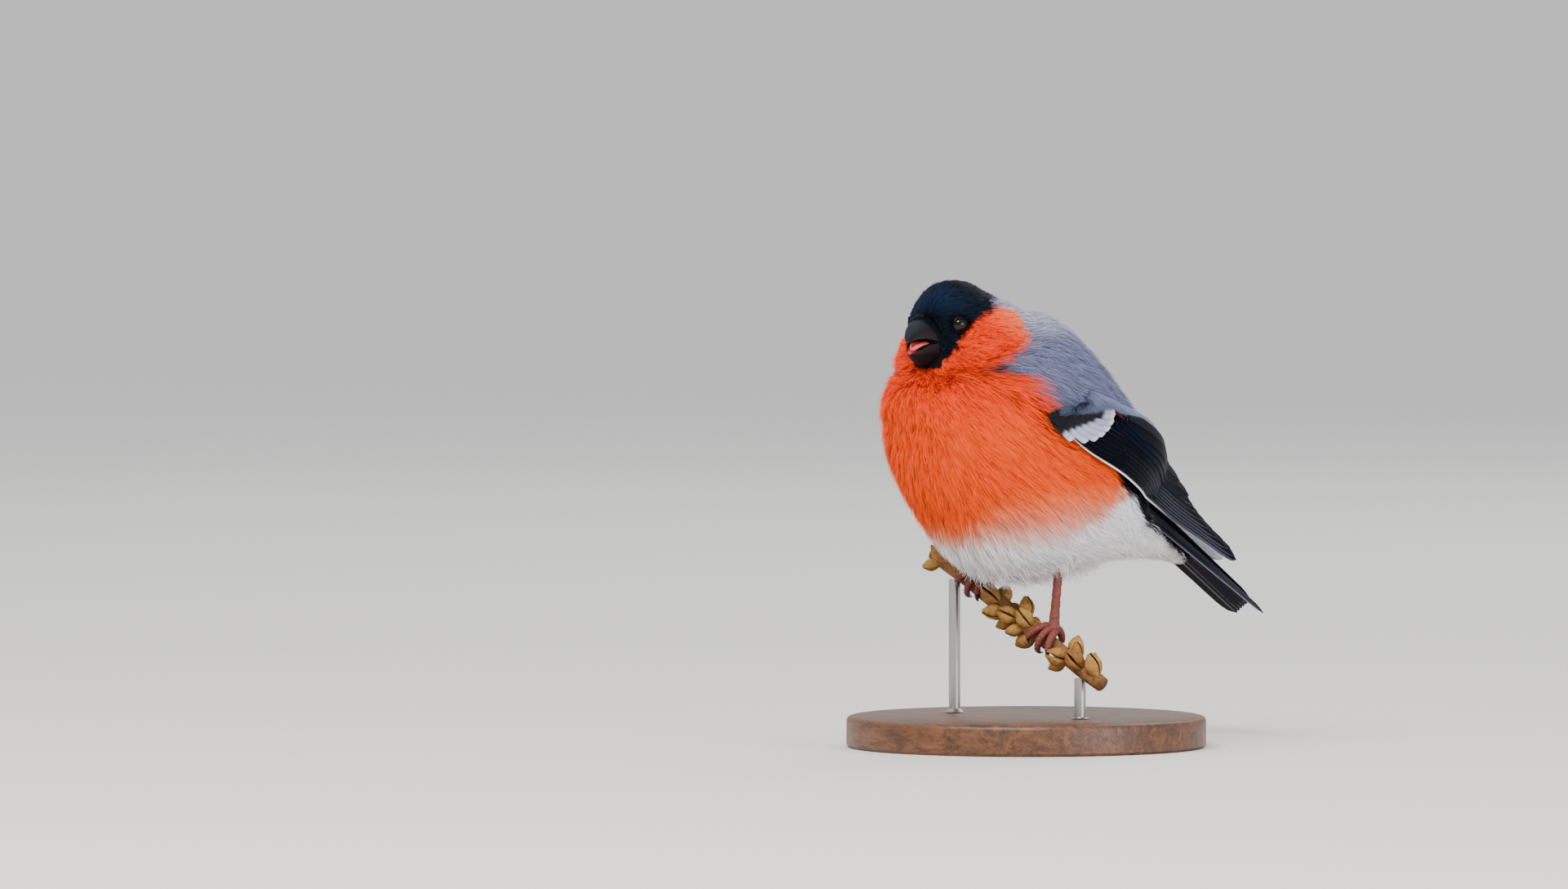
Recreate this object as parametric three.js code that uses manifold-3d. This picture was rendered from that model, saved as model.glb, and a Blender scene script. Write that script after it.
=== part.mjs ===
// A male bullfinch, life size, perched across a cut length of dry seed stem on a plain display stand.
// Millimetres, +Z up. The bird heads towards -Y with its left side on +X; the origin is the middle of
// the stand's underside. Each named part is one closed solid, and parts that touch keep a gap.
import * as THREE from "three";
import { mergeVertices } from "three/addons/utils/BufferGeometryUtils.js";
import Module from "manifold-3d";

const wasm = await Module();
wasm.setup();
const { Manifold, Mesh } = wasm;
const V = (x, y, z) => new THREE.Vector3(x, y, z);
const { lerp, clamp, degToRad: rad } = THREE.MathUtils;

// Driving dimensions
const gap = 0.3; // between parts that touch
const torsoHeight = 72; // torso centre above the floor
const torsoSetBack = -8; // torso centre from the stand's middle, along Y
const bodyPitch = 40; // degrees the body's axis falls towards the tail
const breastWidth = 57; // across the fluffed breast
const skullWidth = 22.6; // across the feathered head
const headTurn = 17; // degrees the head looks to the bird's left
const headDip = 12; // degrees the bill points below the level
const eyeRadius = 2.5;
const tailLength = 60;
const tailPitch = 41; // degrees the tail falls towards its tip
const tailTurn = 10; // degrees the tail swings to the bird's left
const tailRoll = 11; // degrees its right edge hangs lower
const featherThickness = 0.7;
const stemRadius = 2.3;
const stemLength = 65;
const capsuleLength = 6.2;
const rodRadius = 1.5;
const baseRadius = 46;
const baseThickness = 8;

// Solids from meshes

// A closed skin through rings of equal point count, drawn together at both ends. Quads of the second
// half of each ring are split the other way, so both faces of a thin blade fold alike.
function skin(rings) {
  const count = rings[0].length;
  const points = rings.flat();
  const index = [];
  const ends = [0, rings.length - 1];
  for (let r = 0; r < rings.length - 1; r++) {
    for (let k = 0; k < count; k++) {
      const a = r * count + k;
      const b = r * count + ((k + 1) % count);
      const [c, d] = [a + count, b + count];
      if (k < count / 2) index.push(a, b, d, a, d, c);
      else index.push(a, b, c, b, d, c);
    }
  }
  for (const r of ends) {
    const middle = rings[r].reduce((sum, p) => sum.add(p), V(0, 0, 0)).divideScalar(count);
    points.push(middle);
    for (let k = 0; k < count; k++) {
      const a = r * count + k;
      const b = r * count + ((k + 1) % count);
      if (r === 0) index.push(points.length - 1, b, a);
      else index.push(points.length - 1, a, b);
    }
  }
  return new THREE.BufferGeometry().setFromPoints(points).setIndex(index);
}

// A geometry as a solid, turned the right way out if its faces point inwards.
function solid(geometry) {
  const bare = geometry.clone();
  bare.deleteAttribute("normal");
  bare.deleteAttribute("uv");
  const merged = mergeVertices(bare, 1e-4);
  const triVerts = new Uint32Array(merged.index.array);
  const vertProperties = new Float32Array(merged.attributes.position.array);
  const made = new Manifold(new Mesh({ numProp: 3, vertProperties, triVerts }));
  if (made.volume() > 0) return made;
  for (let i = 0; i < triVerts.length; i += 3) {
    [triVerts[i + 1], triVerts[i + 2]] = [triVerts[i + 2], triVerts[i + 1]];
  }
  return new Manifold(new Mesh({ numProp: 3, vertProperties, triVerts }));
}

const join = (solids) => Manifold.union(solids);

// The largest closed surface of a solid, without loose scraps or sealed hollows.
function largest(made) {
  return made.decompose().sort((p, q) => q.volume() - p.volume())[0];
}

function geometryOf(made) {
  const mesh = made.getMesh();
  const positions = new THREE.BufferAttribute(new Float32Array(mesh.vertProperties), 3);
  const geometry = new THREE.BufferGeometry().setAttribute("position", positions);
  geometry.setIndex(new THREE.BufferAttribute(new Uint32Array(mesh.triVerts), 1));
  geometry.computeVertexNormals();
  return geometry;
}

// Values of a table between its rows, on a smooth curve through them. t runs from 0 to 1.
function between(rows, t) {
  const place = clamp(t, 0, 1) * (rows.length - 1);
  const i = Math.min(Math.floor(place), rows.length - 2);
  const f = place - i;
  return rows[0].map((_, column) => {
    const at = (k) => rows[clamp(k, 0, rows.length - 1)][column];
    const [p0, p1, p2, p3] = [at(i - 1), at(i), at(i + 1), at(i + 2)];
    const bend = 2 * p0 - 5 * p1 + 4 * p2 - p3 + (3 * p1 - p0 - 3 * p2 + p3) * f;
    return p1 + 0.5 * f * (p2 - p0 + bend * f);
  });
}

// A round rod along a path; the radius follows its own rule from root (0) to tip (1).
function tube(path, radius, stations, around) {
  const rings = [];
  for (let r = 0; r <= stations; r++) {
    const s = r / stations;
    const middle = path(s);
    const tangent = path(Math.min(s + 0.02, 1)).sub(path(Math.max(s - 0.02, 0))).normalize();
    const aside = tangent.clone().cross(V(0.31, 0.87, 0.39)).normalize();
    const other = tangent.clone().cross(aside);
    rings.push(
      Array.from({ length: around }, (_, k) => {
        const turn = (2 * Math.PI * k) / around;
        const point = middle.clone().addScaledVector(aside, radius(s) * Math.cos(turn));
        return point.addScaledVector(other, radius(s) * Math.sin(turn));
      }),
    );
  }
  return solid(skin(rings));
}

// Torso: one egg along an axis that falls towards the tail. A place on it is "along" the axis towards
// the tail and "lift" above it, towards the back.

const axisDown = V(0, Math.cos(rad(bodyPitch)), -Math.sin(rad(bodyPitch)));
const axisUp = V(0, Math.sin(rad(bodyPitch)), Math.cos(rad(bodyPitch)));
const onAxis = (along, lift) =>
  axisDown.clone().multiplyScalar(along).addScaledVector(axisUp, lift);

const half = breastWidth / 2;
// [along, lift, half width, half depth to the back, half depth to the belly]
const torsoStations = [
  [-37.5, -4, 0.16 * half, 3.5, 4],
  [-35, -3, 0.36 * half, 7, 7.5],
  [-30, 1.5, 0.66 * half, 12.5, 13.5],
  [-20, 6, 0.91 * half, 29, 25.5],
  [-6, 5, half, 33.2, 29.5],
  [10, 5.5, half, 31, 32],
  [22, 8.5, 0.88 * half, 25, 28.5],
  [31, 8.5, 0.66 * half, 19, 18.5],
  [38, 9.5, 0.45 * half, 9.5, 10.5],
  [46, 13, 0.3 * half, 6, 6],
  [54, 16, 0.19 * half, 3.4, 3.6],
  [60.5, 17.6, 0.1 * half, 1.8, 1.8],
];

function torsoSkin(grow, around = 24, stations = 19) {
  const rings = [];
  for (let r = 0; r <= stations; r++) {
    const [along, lift, wide, back, belly] = between(torsoStations, r / stations);
    const end = r === 0 ? -grow : r === stations ? grow : 0;
    const ring = [];
    for (let k = 0; k < around; k++) {
      const turn = (2 * Math.PI * k) / around;
      const depth = Math.sin(turn) > 0 ? back : belly;
      const point = onAxis(along + end, lift + (depth + grow) * Math.sin(turn));
      ring.push(point.setX((wide + grow) * Math.cos(turn)));
    }
    rings.push(ring);
  }
  return solid(skin(rings));
}

// The torso's station at a place along its axis, found by halving.
function torsoRow(along) {
  let [low, high] = [0, 1];
  for (let i = 0; i < 24; i++) {
    const middle = (low + high) / 2;
    if (between(torsoStations, middle)[0] < along) low = middle;
    else high = middle;
  }
  return between(torsoStations, low);
}

// A point moved straight out from the torso's axis, if need be, until it clears the torso's skin.
function drape(point, clear) {
  const along = point.dot(axisDown);
  const [, lift, wide, back, belly] = torsoRow(along);
  const up = point.dot(axisUp) - lift;
  const depth = up > 0 ? back : belly;
  const out = Math.hypot(point.x / (wide + clear), up / (depth + clear));
  if (out >= 1) return point;
  return onAxis(along, lift + up / out).setX(point.x / out);
}

// Head: an egg whose own axis runs forward along the bill.

const headCentre = onAxis(-34.8, 17);
const ahead = V(
  Math.sin(rad(headTurn)) * Math.cos(rad(headDip)),
  -Math.cos(rad(headTurn)) * Math.cos(rad(headDip)),
  -Math.sin(rad(headDip)),
);
const headLeft = V(Math.cos(rad(headTurn)), Math.sin(rad(headTurn)), 0);
const headUp = ahead.clone().cross(headLeft);
// A point of the head's own frame: forward along the bill, to its left and up.
const inHead = (forward, left, up) =>
  headCentre
    .clone()
    .addScaledVector(ahead, forward)
    .addScaledVector(headLeft, left)
    .addScaledVector(headUp, up);

// An egg along the head's forward axis, through stations of
// [forward, middle height, half width, half height above, half height below].
function headEgg(rows, grow, around, stations, shift = V(0, 0, 0)) {
  const rings = [];
  for (let r = 0; r <= stations; r++) {
    const [forward, middle, wide, above, below] = between(rows, r / stations);
    const end = r === 0 ? -grow : r === stations ? grow : 0;
    const ring = [];
    for (let k = 0; k < around; k++) {
      const turn = (2 * Math.PI * k) / around;
      const depth = Math.sin(turn) > 0 ? above : below;
      const [left, up] = [(wide + grow) * Math.cos(turn), (depth + grow) * Math.sin(turn)];
      ring.push(inHead(forward + end, left, middle + up).add(shift));
    }
    rings.push(ring);
  }
  return solid(skin(rings));
}

const skull = skullWidth / 2;
const headStations = [
  [-14.5, 0.5, 0.25 * skull, 3, 3],
  [-12, 0.5, 0.6 * skull, 6.8, 7],
  [-7, 0.3, 0.92 * skull, 10.6, 11],
  [-1, 0, skull, 12.2, 12],
  [4.5, -0.5, 0.86 * skull, 11, 11],
  [8.5, -1, 0.61 * skull, 8.2, 8.6],
  [11, -1.4, 0.43 * skull, 5.6, 6.2],
  [12.4, -1.6, 0.3 * skull, 3.6, 4],
];
const headSkin = (grow) => headEgg(headStations, grow, 20, 12);

// Neck: the fluffed cheeks and nape, an egg behind and below the head.
const neckStations = [
  [-13, 0, 4.5, 4, 4],
  [-10, 0, 10, 8.8, 9],
  [-5, 0, 14.5, 12.6, 13.2],
  [0, 0, 16, 13.6, 14.4],
  [5, 0, 14.5, 12.2, 13.2],
  [9.5, 0, 10, 8.6, 9],
  [12, 0, 4.5, 4, 4],
];
const neckShift = V(0.5, -6.4, 31).sub(headCentre);
// The ruff puffs out the cheeks beside the bill, one egg on each side of the head.
const ruffAside = 5.5;
const ruffStations = [
  [-7, -9, 2.6, 2.4, 2.4],
  [-5.3, -9, 6.4, 6, 6],
  [-1.9, -9, 9.8, 9.2, 9.2],
  [1.5, -9, 10.7, 10, 10],
  [4.9, -9, 9.8, 9.2, 9.2],
  [8.3, -9, 6.4, 6, 6],
  [9.8, -9, 2.6, 2.4, 2.4],
];
const ruff = (side, grow) =>
  headEgg(ruffStations, grow, 14, 7, headLeft.clone().multiplyScalar(side * ruffAside));
const neckSkin = (grow) =>
  join([headEgg(neckStations, grow, 18, 9, neckShift), ruff(1, grow), ruff(-1, grow)]);

// Eyes: balls let into the head, each inside a round lid that faces out and a little ahead.
const eyeForward = 4.6;
const eyeAside = 7.6;
const eyeUp = 2;
const eyeFacing = 20; // degrees the lid turns ahead from straight aside
const lidOut = 1.8; // the lid's plane, out from the eye's middle

function ball(centre, radius, around = 12) {
  const geometry = new THREE.SphereGeometry(radius, around, around - 4);
  return solid(geometry.translate(centre.x, centre.y, centre.z));
}

function lid(side, grow) {
  const facing = headLeft.clone().multiplyScalar(side * Math.cos(rad(eyeFacing)));
  facing.addScaledVector(ahead, Math.sin(rad(eyeFacing)));
  const middle = inHead(eyeForward, side * eyeAside, eyeUp).addScaledVector(facing, lidOut);
  const geometry = new THREE.TorusGeometry(eyeRadius - 0.25, 0.4 + grow, 6, 14);
  geometry.applyQuaternion(new THREE.Quaternion().setFromUnitVectors(V(0, 0, 1), facing));
  return solid(geometry.translate(middle.x, middle.y, middle.z));
}

const eye = (side, grow) => ball(inHead(eyeForward, side * eyeAside, eyeUp), eyeRadius + grow);

// Bill: two stubby halves, open, whose roots sit in a socket of the head.
// [forward, height of the upper cutting edge, half width, height of the ridge]
const upperBill = [
  [7, -2, 4.6, 5.5],
  [9, -1.6, 4.6, 5.8],
  [11.5, -0.6, 4.2, 5.6],
  [13.5, 0.2, 3.4, 4.9],
  [15.2, 0.5, 2.3, 3.6],
  [16.3, 0.3, 1.3, 2.2],
  [16.9, 0, 0.5, 0.9],
];
// [forward, height of the lower cutting edge, half width, height of the keel]
const lowerBill = [
  [7, -2.6, 4.5, -7.6],
  [9, -2.6, 4.5, -7.6],
  [11.5, -2.8, 4, -7.2],
  [13.5, -3, 3.2, -6.4],
  [15.2, -3, 2.2, -5.3],
  [16.2, -2.9, 1.2, -4.2],
  [16.7, -2.8, 0.5, -3.4],
];

// One arch of a bill from its left cutting edge over the ridge (or keel) to the right one.
function billArch([forward, edge, wide, ridge], grow, points) {
  const arch = [];
  for (let k = 0; k <= points; k++) {
    const turn = (Math.PI * k) / points;
    const rise = (ridge - edge + Math.sign(ridge - edge) * grow) * Math.sin(turn);
    arch.push(inHead(forward, (wide + grow) * Math.cos(turn), edge + rise));
  }
  return arch;
}

// Half a bill: an arch closed by a flat, slightly hollow face along its cutting edges.
function billHalf(rows) {
  const rings = [];
  for (let r = 0; r <= 10; r++) {
    const row = between(rows, r / 10);
    const [forward, edge, wide, ridge] = row;
    const hollow = 0.12 * (ridge - edge);
    const face = [-0.5, 0, 0.5].map((across) =>
      inHead(forward, across * wide, edge + hollow * (1 - across * across)),
    );
    rings.push([...billArch(row, 0, 8), ...face]);
  }
  return solid(skin(rings));
}

// Both halves as one closed form, for the socket in the head.
function billSocket(grow) {
  const rings = [];
  for (let r = 0; r <= 8; r++) {
    const [upper, lower] = [upperBill, lowerBill].map((rows) => between(rows, r / 8));
    if (r === 0) [upper, lower].forEach((row) => (row[0] -= grow));
    rings.push([...billArch(upper, grow, 8), ...billArch(lower, grow, 8).reverse()]);
  }
  return solid(skin(rings));
}

// Tongue: a flat wedge just above the lower bill.
// [forward, underside, half width, upper side]
const tongueRows = [
  [9.3, -2.3, 1.6, -1.75],
  [11.3, -2.45, 2.3, -1.35],
  [13.2, -2.6, 2, -1.2],
  [14.8, -2.65, 1.2, -1.6],
  [15.4, -2.65, 0.5, -2.1],
];

function tongue() {
  const rings = [];
  for (let r = 0; r <= 7; r++) {
    const [forward, under, wide, over] = between(tongueRows, r / 7);
    const [middle, thick] = [(under + over) / 2, (over - under) / 2];
    const ring = [];
    for (let k = 0; k < 10; k++) {
      const turn = (2 * Math.PI * k) / 10;
      ring.push(inHead(forward, wide * Math.cos(turn), middle + thick * Math.sin(turn)));
    }
    rings.push(ring);
  }
  return solid(skin(rings));
}

const nostrils = [-1, 1].map((side) => ball(inHead(10.9, side * 2.6, 4.5), 0.55, 8));

// A feather: a flat blade along a path that gives its middle, the way across it and the way out.
function vane(path, halfWidth, stations = 6) {
  const rings = [];
  for (let r = 0; r <= stations; r++) {
    const s = r / stations;
    const { middle, across, out } = path(s);
    const nearTip = Math.max(0, (s - 0.72) / 0.3);
    const wide = halfWidth * Math.min(1, 0.6 + 1.4 * s) * Math.sqrt(1 - nearTip * nearTip);
    const corner = (side, face) => {
      const point = middle.clone().addScaledVector(across, side * wide);
      return point.addScaledVector(out, (face * featherThickness) / 2);
    };
    rings.push([corner(-1, 1), corner(1, 1), corner(1, -1), corner(-1, -1)]);
  }
  return solid(skin(rings));
}

// Wings, folded against the sides. A place on a wing is u, from the wrist (0) to the tip (1), and d,
// millimetres up from its lower edge; the wing lies on the torso wherever it would sink into it.
const wingLowerEdge = [
  [26, -6.2, 13.5],
  [26.8, 4.8, 4.4],
  [25.1, 17.9, -2.3],
  [21.7, 30.7, -8.8],
  [15.3, 43.1, -14.8],
  [8.8, 55.8, -20.1],
  [3, 68.8, -26.4],
];
const wingUpperEdge = [
  [27, 1, 14.6],
  [26, 10.4, 15.2],
  [22, 21.9, 12.9],
  [16, 33, 9.2],
  [9, 44.9, -0.6],
  [6, 55.1, -12.9],
  [2, 68.3, -22.6],
];
const wingLift = 1.2; // the wing's own surface above the torso's skin
const wingSway = 3.5; // how far both tips swing to the bird's left with the tail

function wingPoint(u, d) {
  const low = V(...between(wingLowerEdge, u));
  const rise = V(...between(wingUpperEdge, u)).sub(low);
  return drape(low.addScaledVector(rise, d / rise.length()), wingLift);
}

// The wing's surface at a place, for one side, with its outward direction.
function onWing(side, u, d) {
  const place = (pu, pd) => {
    const point = wingPoint(pu, pd);
    return point.setX(side * point.x + wingSway * clamp(pu, 0, 1) ** 3);
  };
  const [back, front] = [place(Math.min(u, 0.99) - 0.02, d), place(Math.min(u, 0.99) + 0.01, d)];
  const along = front.sub(back).normalize();
  const rise = place(u, d + 0.8).sub(place(u, d - 0.8)).normalize();
  const out = along.clone().cross(rise).multiplyScalar(-side).normalize();
  if (out.x * side < 0) out.negate();
  return { point: place(u, d), along, out };
}

// [root u, root d, tip u, tip d, half width, height above the wing's surface]
const wingFeathers = [
  [0.1, 2.3, 0.985, 1.2, 2, 0.1],
  [0.12, 3.2, 1, 1.7, 2.2, 0.28],
  [0.13, 4.1, 0.985, 2.5, 2.3, 0.46],
  [0.14, 5, 0.95, 3.3, 2.3, 0.64],
  [0.15, 5.9, 0.905, 4.2, 2.3, 0.82],
  [0.16, 6.7, 0.865, 5.1, 2.3, 1],
  [0.17, 7.5, 0.825, 6.1, 2.4, 1.18],
  [0.19, 8.4, 0.79, 7.2, 2.5, 1.36],
  [0.21, 9.3, 0.76, 8.5, 2.6, 1.54],
  [0.26, 10.4, 0.745, 9.6, 3, 1.84],
  [0.28, 11, 0.68, 11.4, 3.1, 2.14],
  [0.3, 11.4, 0.6, 13.4, 3, 2.44],
  [0.06, 1.9, 0.3, 2.1, 1.7, 0.75],
];
const greaterCoverts = 6;
for (let k = 0; k < greaterCoverts; k++) {
  const root = [0.02 + 0.014 * k, 1.2 + 1.7 * k];
  wingFeathers.push([...root, 0.125 + 0.032 * k, 1.4 + 2 * k, 2.3, 1.1 + 0.24 * k]);
}

function wingVane(side, [rootU, rootD, tipU, tipD, halfWidth, height]) {
  const path = (s) => {
    const { point, along, out } = onWing(side, lerp(rootU, tipU, s), lerp(rootD, tipD, s));
    const across = along.clone().cross(out).normalize();
    return { middle: point.addScaledVector(out, height), across, out };
  };
  return vane(path, halfWidth, tipU - rootU > 0.4 ? 4 : 3);
}

// The bed the feathers grow from: a slab that fills the space between them and the torso.
function wingBed(side) {
  const rings = [];
  const across = [0, 0.33, 0.66, 1];
  for (let r = 0; r <= 7; r++) {
    const u = lerp(0.015, 0.7, r / 7);
    const low = V(...between(wingLowerEdge, u));
    const tall = V(...between(wingUpperEdge, u)).distanceTo(low);
    const row = (height) =>
      across.map((part) => {
        const { point, out } = onWing(side, u, lerp(1, tall - 3, part));
        return point.addScaledVector(out, height(part));
      });
    const outer = row((part) => 1.1 * part - 0.05);
    const inner = row(() => -1.3);
    rings.push([...outer, ...inner.reverse()]);
  }
  return solid(skin(rings));
}

function wing(side) {
  const vanes = wingFeathers.map((feather) => wingVane(side, feather));
  return largest(join([wingBed(side), ...vanes]).subtract(torsoSkin(gap)));
}

// Tail: twelve feathers in a shallow roof, the middle pair on top and the outer ones a little longer.
const tailFeathers = 12;
const tailTip = V(7, 73.6, -37.6);
const tailDown = V(
  Math.sin(rad(tailTurn)) * Math.cos(rad(tailPitch)),
  Math.cos(rad(tailTurn)) * Math.cos(rad(tailPitch)),
  -Math.sin(rad(tailPitch)),
);
const tailLeft = V(Math.cos(rad(tailTurn)), -Math.sin(rad(tailTurn)), 0)
  .applyAxisAngle(tailDown, -rad(tailRoll));
const tailUp = tailLeft.clone().cross(tailDown);

function tail() {
  const vanes = [];
  for (let k = 0; k < tailFeathers; k++) {
    const q = (2 * k) / (tailFeathers - 1) - 1;
    const order = Math.floor(Math.abs(k - 5.5));
    const level = 0.9 - 0.34 * order - (k === 5 ? 0.17 : 0);
    const path = (s) => {
      const reach = (tailLength + 2.4 * Math.abs(q) - 1.6) * s - tailLength;
      const middle = tailTip.clone().addScaledVector(tailDown, reach);
      middle.addScaledVector(tailLeft, q * lerp(3.2, 7.4, s));
      middle.addScaledVector(tailUp, level - q * q * lerp(2.4, 1.2, s));
      return { middle, across: tailLeft, out: tailUp };
    };
    vanes.push(vane(path, 3.1, 6));
  }
  return largest(join(vanes).subtract(torsoSkin(gap)));
}

// Perch: a dry stem set about with seed capsules.
const stemMiddle = V(0.5, 5.2, -39);
const stemAxis = V(0.84, 0.22, -0.49).normalize();
const stemUp = V(0, 0, 1).addScaledVector(stemAxis, -stemAxis.z).normalize();
const stemFront = stemAxis.clone().cross(stemUp);
// A place round the stem: along it, turned from its top towards the bird's front, and out.
function onStem(along, turn, out) {
  const point = stemMiddle.clone().addScaledVector(stemAxis, along);
  point.addScaledVector(stemUp, out * Math.cos(turn));
  return point.addScaledVector(stemFront, out * Math.sin(turn));
}

const footPlaces = { left: 11.5, right: -16 }; // along the stem
const rodPlaces = [-25, 24];
const stemSkin = (grow) =>
  tube(
    (s) => onStem(lerp(-0.5, 0.5, s) * (stemLength + 2 * grow), 0, 0),
    (s) => stemRadius + grow - 0.25 * s + 0.12 * Math.sin(23 * s),
    14,
    10,
  );

// [share of the length, radius]
const capsuleRows = [[1], [1.95], [2.4], [1.8], [0.5]];

function capsule(along, turn, size) {
  const root = onStem(along, turn, stemRadius - 0.9);
  const reach = onStem(along - 3.2, turn, stemRadius + 3.2).sub(root).normalize();
  const path = (s) => root.clone().addScaledVector(reach, s * capsuleLength * size);
  return tube(path, (s) => size * between(capsuleRows, s)[0], 4, 5);
}

// Capsules wind round the stem, but leave the feet, the rods and the belly clear.
function perch() {
  const pieces = [stemSkin(0)];
  const goldenTurn = Math.PI * (3 - Math.sqrt(5));
  for (let k = 0; k < 64; k++) {
    const along = -stemLength / 2 + 2.6 + k * 0.96;
    const turn = k * goldenTurn;
    const size = 0.9 + 0.14 * Math.sin(5 * k);
    const nearFoot = Object.values(footPlaces).some((place) => Math.abs(along - place - 1.4) < 5.9);
    const nearRod = rodPlaces.some((place) => Math.abs(along - place - 1.4) < 4.4);
    const tip = onStem(along - 3.2, turn, stemRadius + 4.6);
    const clear = drape(tip, 2.5) === tip;
    if (nearFoot || (nearRod && Math.cos(turn) < 0.2) || !clear) continue;
    pieces.push(capsule(along, turn, size));
  }
  return largest(join(pieces));
}

// Legs: a bare shank, a pad and four toes that close round the stem.
const hipPlaces = { left: V(12.4, 9.9, -22.5), right: V(-11, 4.5, -21.5) };
// [turn at root, turn at tip, shift along the stem at root, at tip, radius at root, turn of the claw]
const toes = [
  [12, 96, -1.5, -3.6, 1.05, 46],
  [12, 122, 0, 0.2, 1.1, 50],
  [12, 92, 1.5, 3.8, 1.05, 44],
  [-12, -82, 0.2, 1.4, 1.15, -66],
];
const clawRoot = 0.75;

// One stretch of a toe or claw round the stem, clear of it by the gap.
function curl(place, turns, shifts, radii, sides, grow = 0) {
  const radius = (s) => lerp(radii[0], radii[1], s);
  const path = (s) =>
    onStem(
      place + lerp(shifts[0], shifts[1], s),
      rad(lerp(turns[0], turns[1], s)),
      stemRadius + 2 * gap + radius(s),
    );
  return tube(path, (s) => radius(s) + grow, 6, sides);
}

const toe = (place, [from, to, shiftFrom, shiftTo, thick], grow) =>
  curl(place, [from, to], [shiftFrom, shiftTo], [thick, 0.8], 7, grow);

function claw(place, [, to, , shiftTo, , turn]) {
  const start = to + Math.sign(turn) * 5.5;
  return curl(place, [start, to + turn], [shiftTo, shiftTo], [clawRoot, 0.16], 6);
}

// A whole leg. Grown by the gap, it makes the room that the feathers of the belly leave for it.
function wholeLeg(name, grow) {
  const place = footPlaces[name];
  const pad = onStem(place, 0, stemRadius + 1.7);
  const up = hipPlaces[name].clone().sub(pad).normalize();
  const hip = hipPlaces[name].clone().addScaledVector(up, grow);
  const shank = tube(
    (s) => hip.clone().lerp(pad, s),
    (s) => grow + 1.15 + 0.45 * (2 * s - 1) ** 4,
    6,
    9,
  );
  return join([shank, ball(pad, 1.75 + grow, 10), ...toes.map((row) => toe(place, row, grow))]);
}

const leg = (name) => largest(wholeLeg(name, 0).subtract(stemSkin(gap)));

// Stand: a round base and two rods that end just under the stem.
function rod(place) {
  const top = onStem(place, 0, 0);
  const foot = top.clone().setZ(baseThickness + gap - torsoHeight);
  return largest(tube((s) => foot.clone().lerp(top, s), () => rodRadius, 1, 16).subtract(stemSkin(gap)));
}

function base() {
  const edge = [
    [0, baseRadius - 0.8],
    [0.8, baseRadius],
    [baseThickness - 1.4, baseRadius],
    [baseThickness - 0.4, baseRadius - 0.4],
    [baseThickness, baseRadius - 1.4],
  ];
  const rings = edge.map(([z, radius]) =>
    Array.from({ length: 40 }, (_, k) => {
      const turn = (2 * Math.PI * k) / 40;
      return V(radius * Math.cos(turn), radius * Math.sin(turn), z);
    }),
  );
  return solid(skin(rings));
}

// Assembly

const part = new THREE.Group();
const bird = new THREE.Group();
bird.position.set(0, torsoSetBack, torsoHeight);
part.add(bird);

function add(group, name, made, colour, roughness = 0.8, metalness = 0) {
  const material = new THREE.MeshStandardMaterial({ color: colour, roughness, metalness });
  const mesh = new THREE.Mesh(geometryOf(made), material);
  mesh.name = name;
  group.add(mesh);
}

const eyeRooms = [1, -1].flatMap((side) => [lid(side, gap), eye(side, gap)]);
const headRoom = join([headSkin(gap), billSocket(gap), ...eyeRooms]);
const legRooms = [wholeLeg("left", 1.2 * gap), wholeLeg("right", 1.2 * gap)];
const sockets = join([headRoom, neckSkin(gap), ...legRooms]);
const trunk = largest(torsoSkin(0).subtract(sockets));

// The torso comes apart along the side, where the wings hide the seam, and across the lower belly.
const seamStart = onAxis(-27, 6);
const seamEnd = onAxis(42, 15.5);
const seam = V(1, 0, 0).cross(seamEnd.clone().sub(seamStart)).normalize();
const seamPlace = seam.dot(seamStart);
const bellyTop = -11;
const upper = (made, normal, place) => made.trimByPlane(normal.toArray(), place + gap / 2);
const under = (made, normal, place) =>
  made.trimByPlane(normal.clone().negate().toArray(), gap / 2 - place);
const front = under(trunk, seam, seamPlace);

add(bird, "mantle", largest(upper(trunk, seam, seamPlace)), 0x747d90);
add(bird, "breast", largest(upper(front, V(0, 0, 1), bellyTop)), 0xf0602a);
add(bird, "belly", largest(under(front, V(0, 0, 1), bellyTop)), 0xf2efe9);
add(bird, "neck", largest(neckSkin(0).subtract(headRoom)), 0xf0602a);

const face = join([headSkin(0), lid(1, 0), lid(-1, 0)]);
const hollows = join([eye(1, gap), eye(-1, gap), billSocket(gap)]);
add(bird, "head", largest(face.subtract(hollows)), 0x14161f);
add(bird, "eye_left", eye(1, 0), 0x120b08, 0.1);
add(bird, "eye_right", eye(-1, 0), 0x120b08, 0.1);
add(bird, "bill_upper", billHalf(upperBill).subtract(join(nostrils)), 0x2a2b32, 0.4);
add(bird, "bill_lower", billHalf(lowerBill), 0x2a2b32, 0.4);
add(bird, "tongue", tongue(), 0xcf6f78, 0.4);
add(bird, "wing_left", wing(1), 0x181b28, 0.5);
add(bird, "wing_right", wing(-1), 0x181b28, 0.5);
add(bird, "tail", tail(), 0x181b28, 0.5);

const perchSolid = perch();
for (const name of ["left", "right"]) {
  add(bird, `leg_${name}`, leg(name), 0x6f4a3c, 0.6);
  toes.forEach((row, k) =>
    add(bird, `claw_${name}_${k + 1}`, claw(footPlaces[name], row), 0x2a211d, 0.4),
  );
}
add(bird, "perch", perchSolid, 0xa8783c, 0.9);
add(bird, "stand_rod_high", rod(rodPlaces[0]), 0xb0aca2, 0.35, 1);
add(bird, "stand_rod_low", rod(rodPlaces[1]), 0xb0aca2, 0.35, 1);
add(part, "stand_base", base(), 0x4f3626, 0.6);

export default part;
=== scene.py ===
import math

import bpy
import numpy as np
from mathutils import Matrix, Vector
from mathutils.bvhtree import BVHTree


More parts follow.
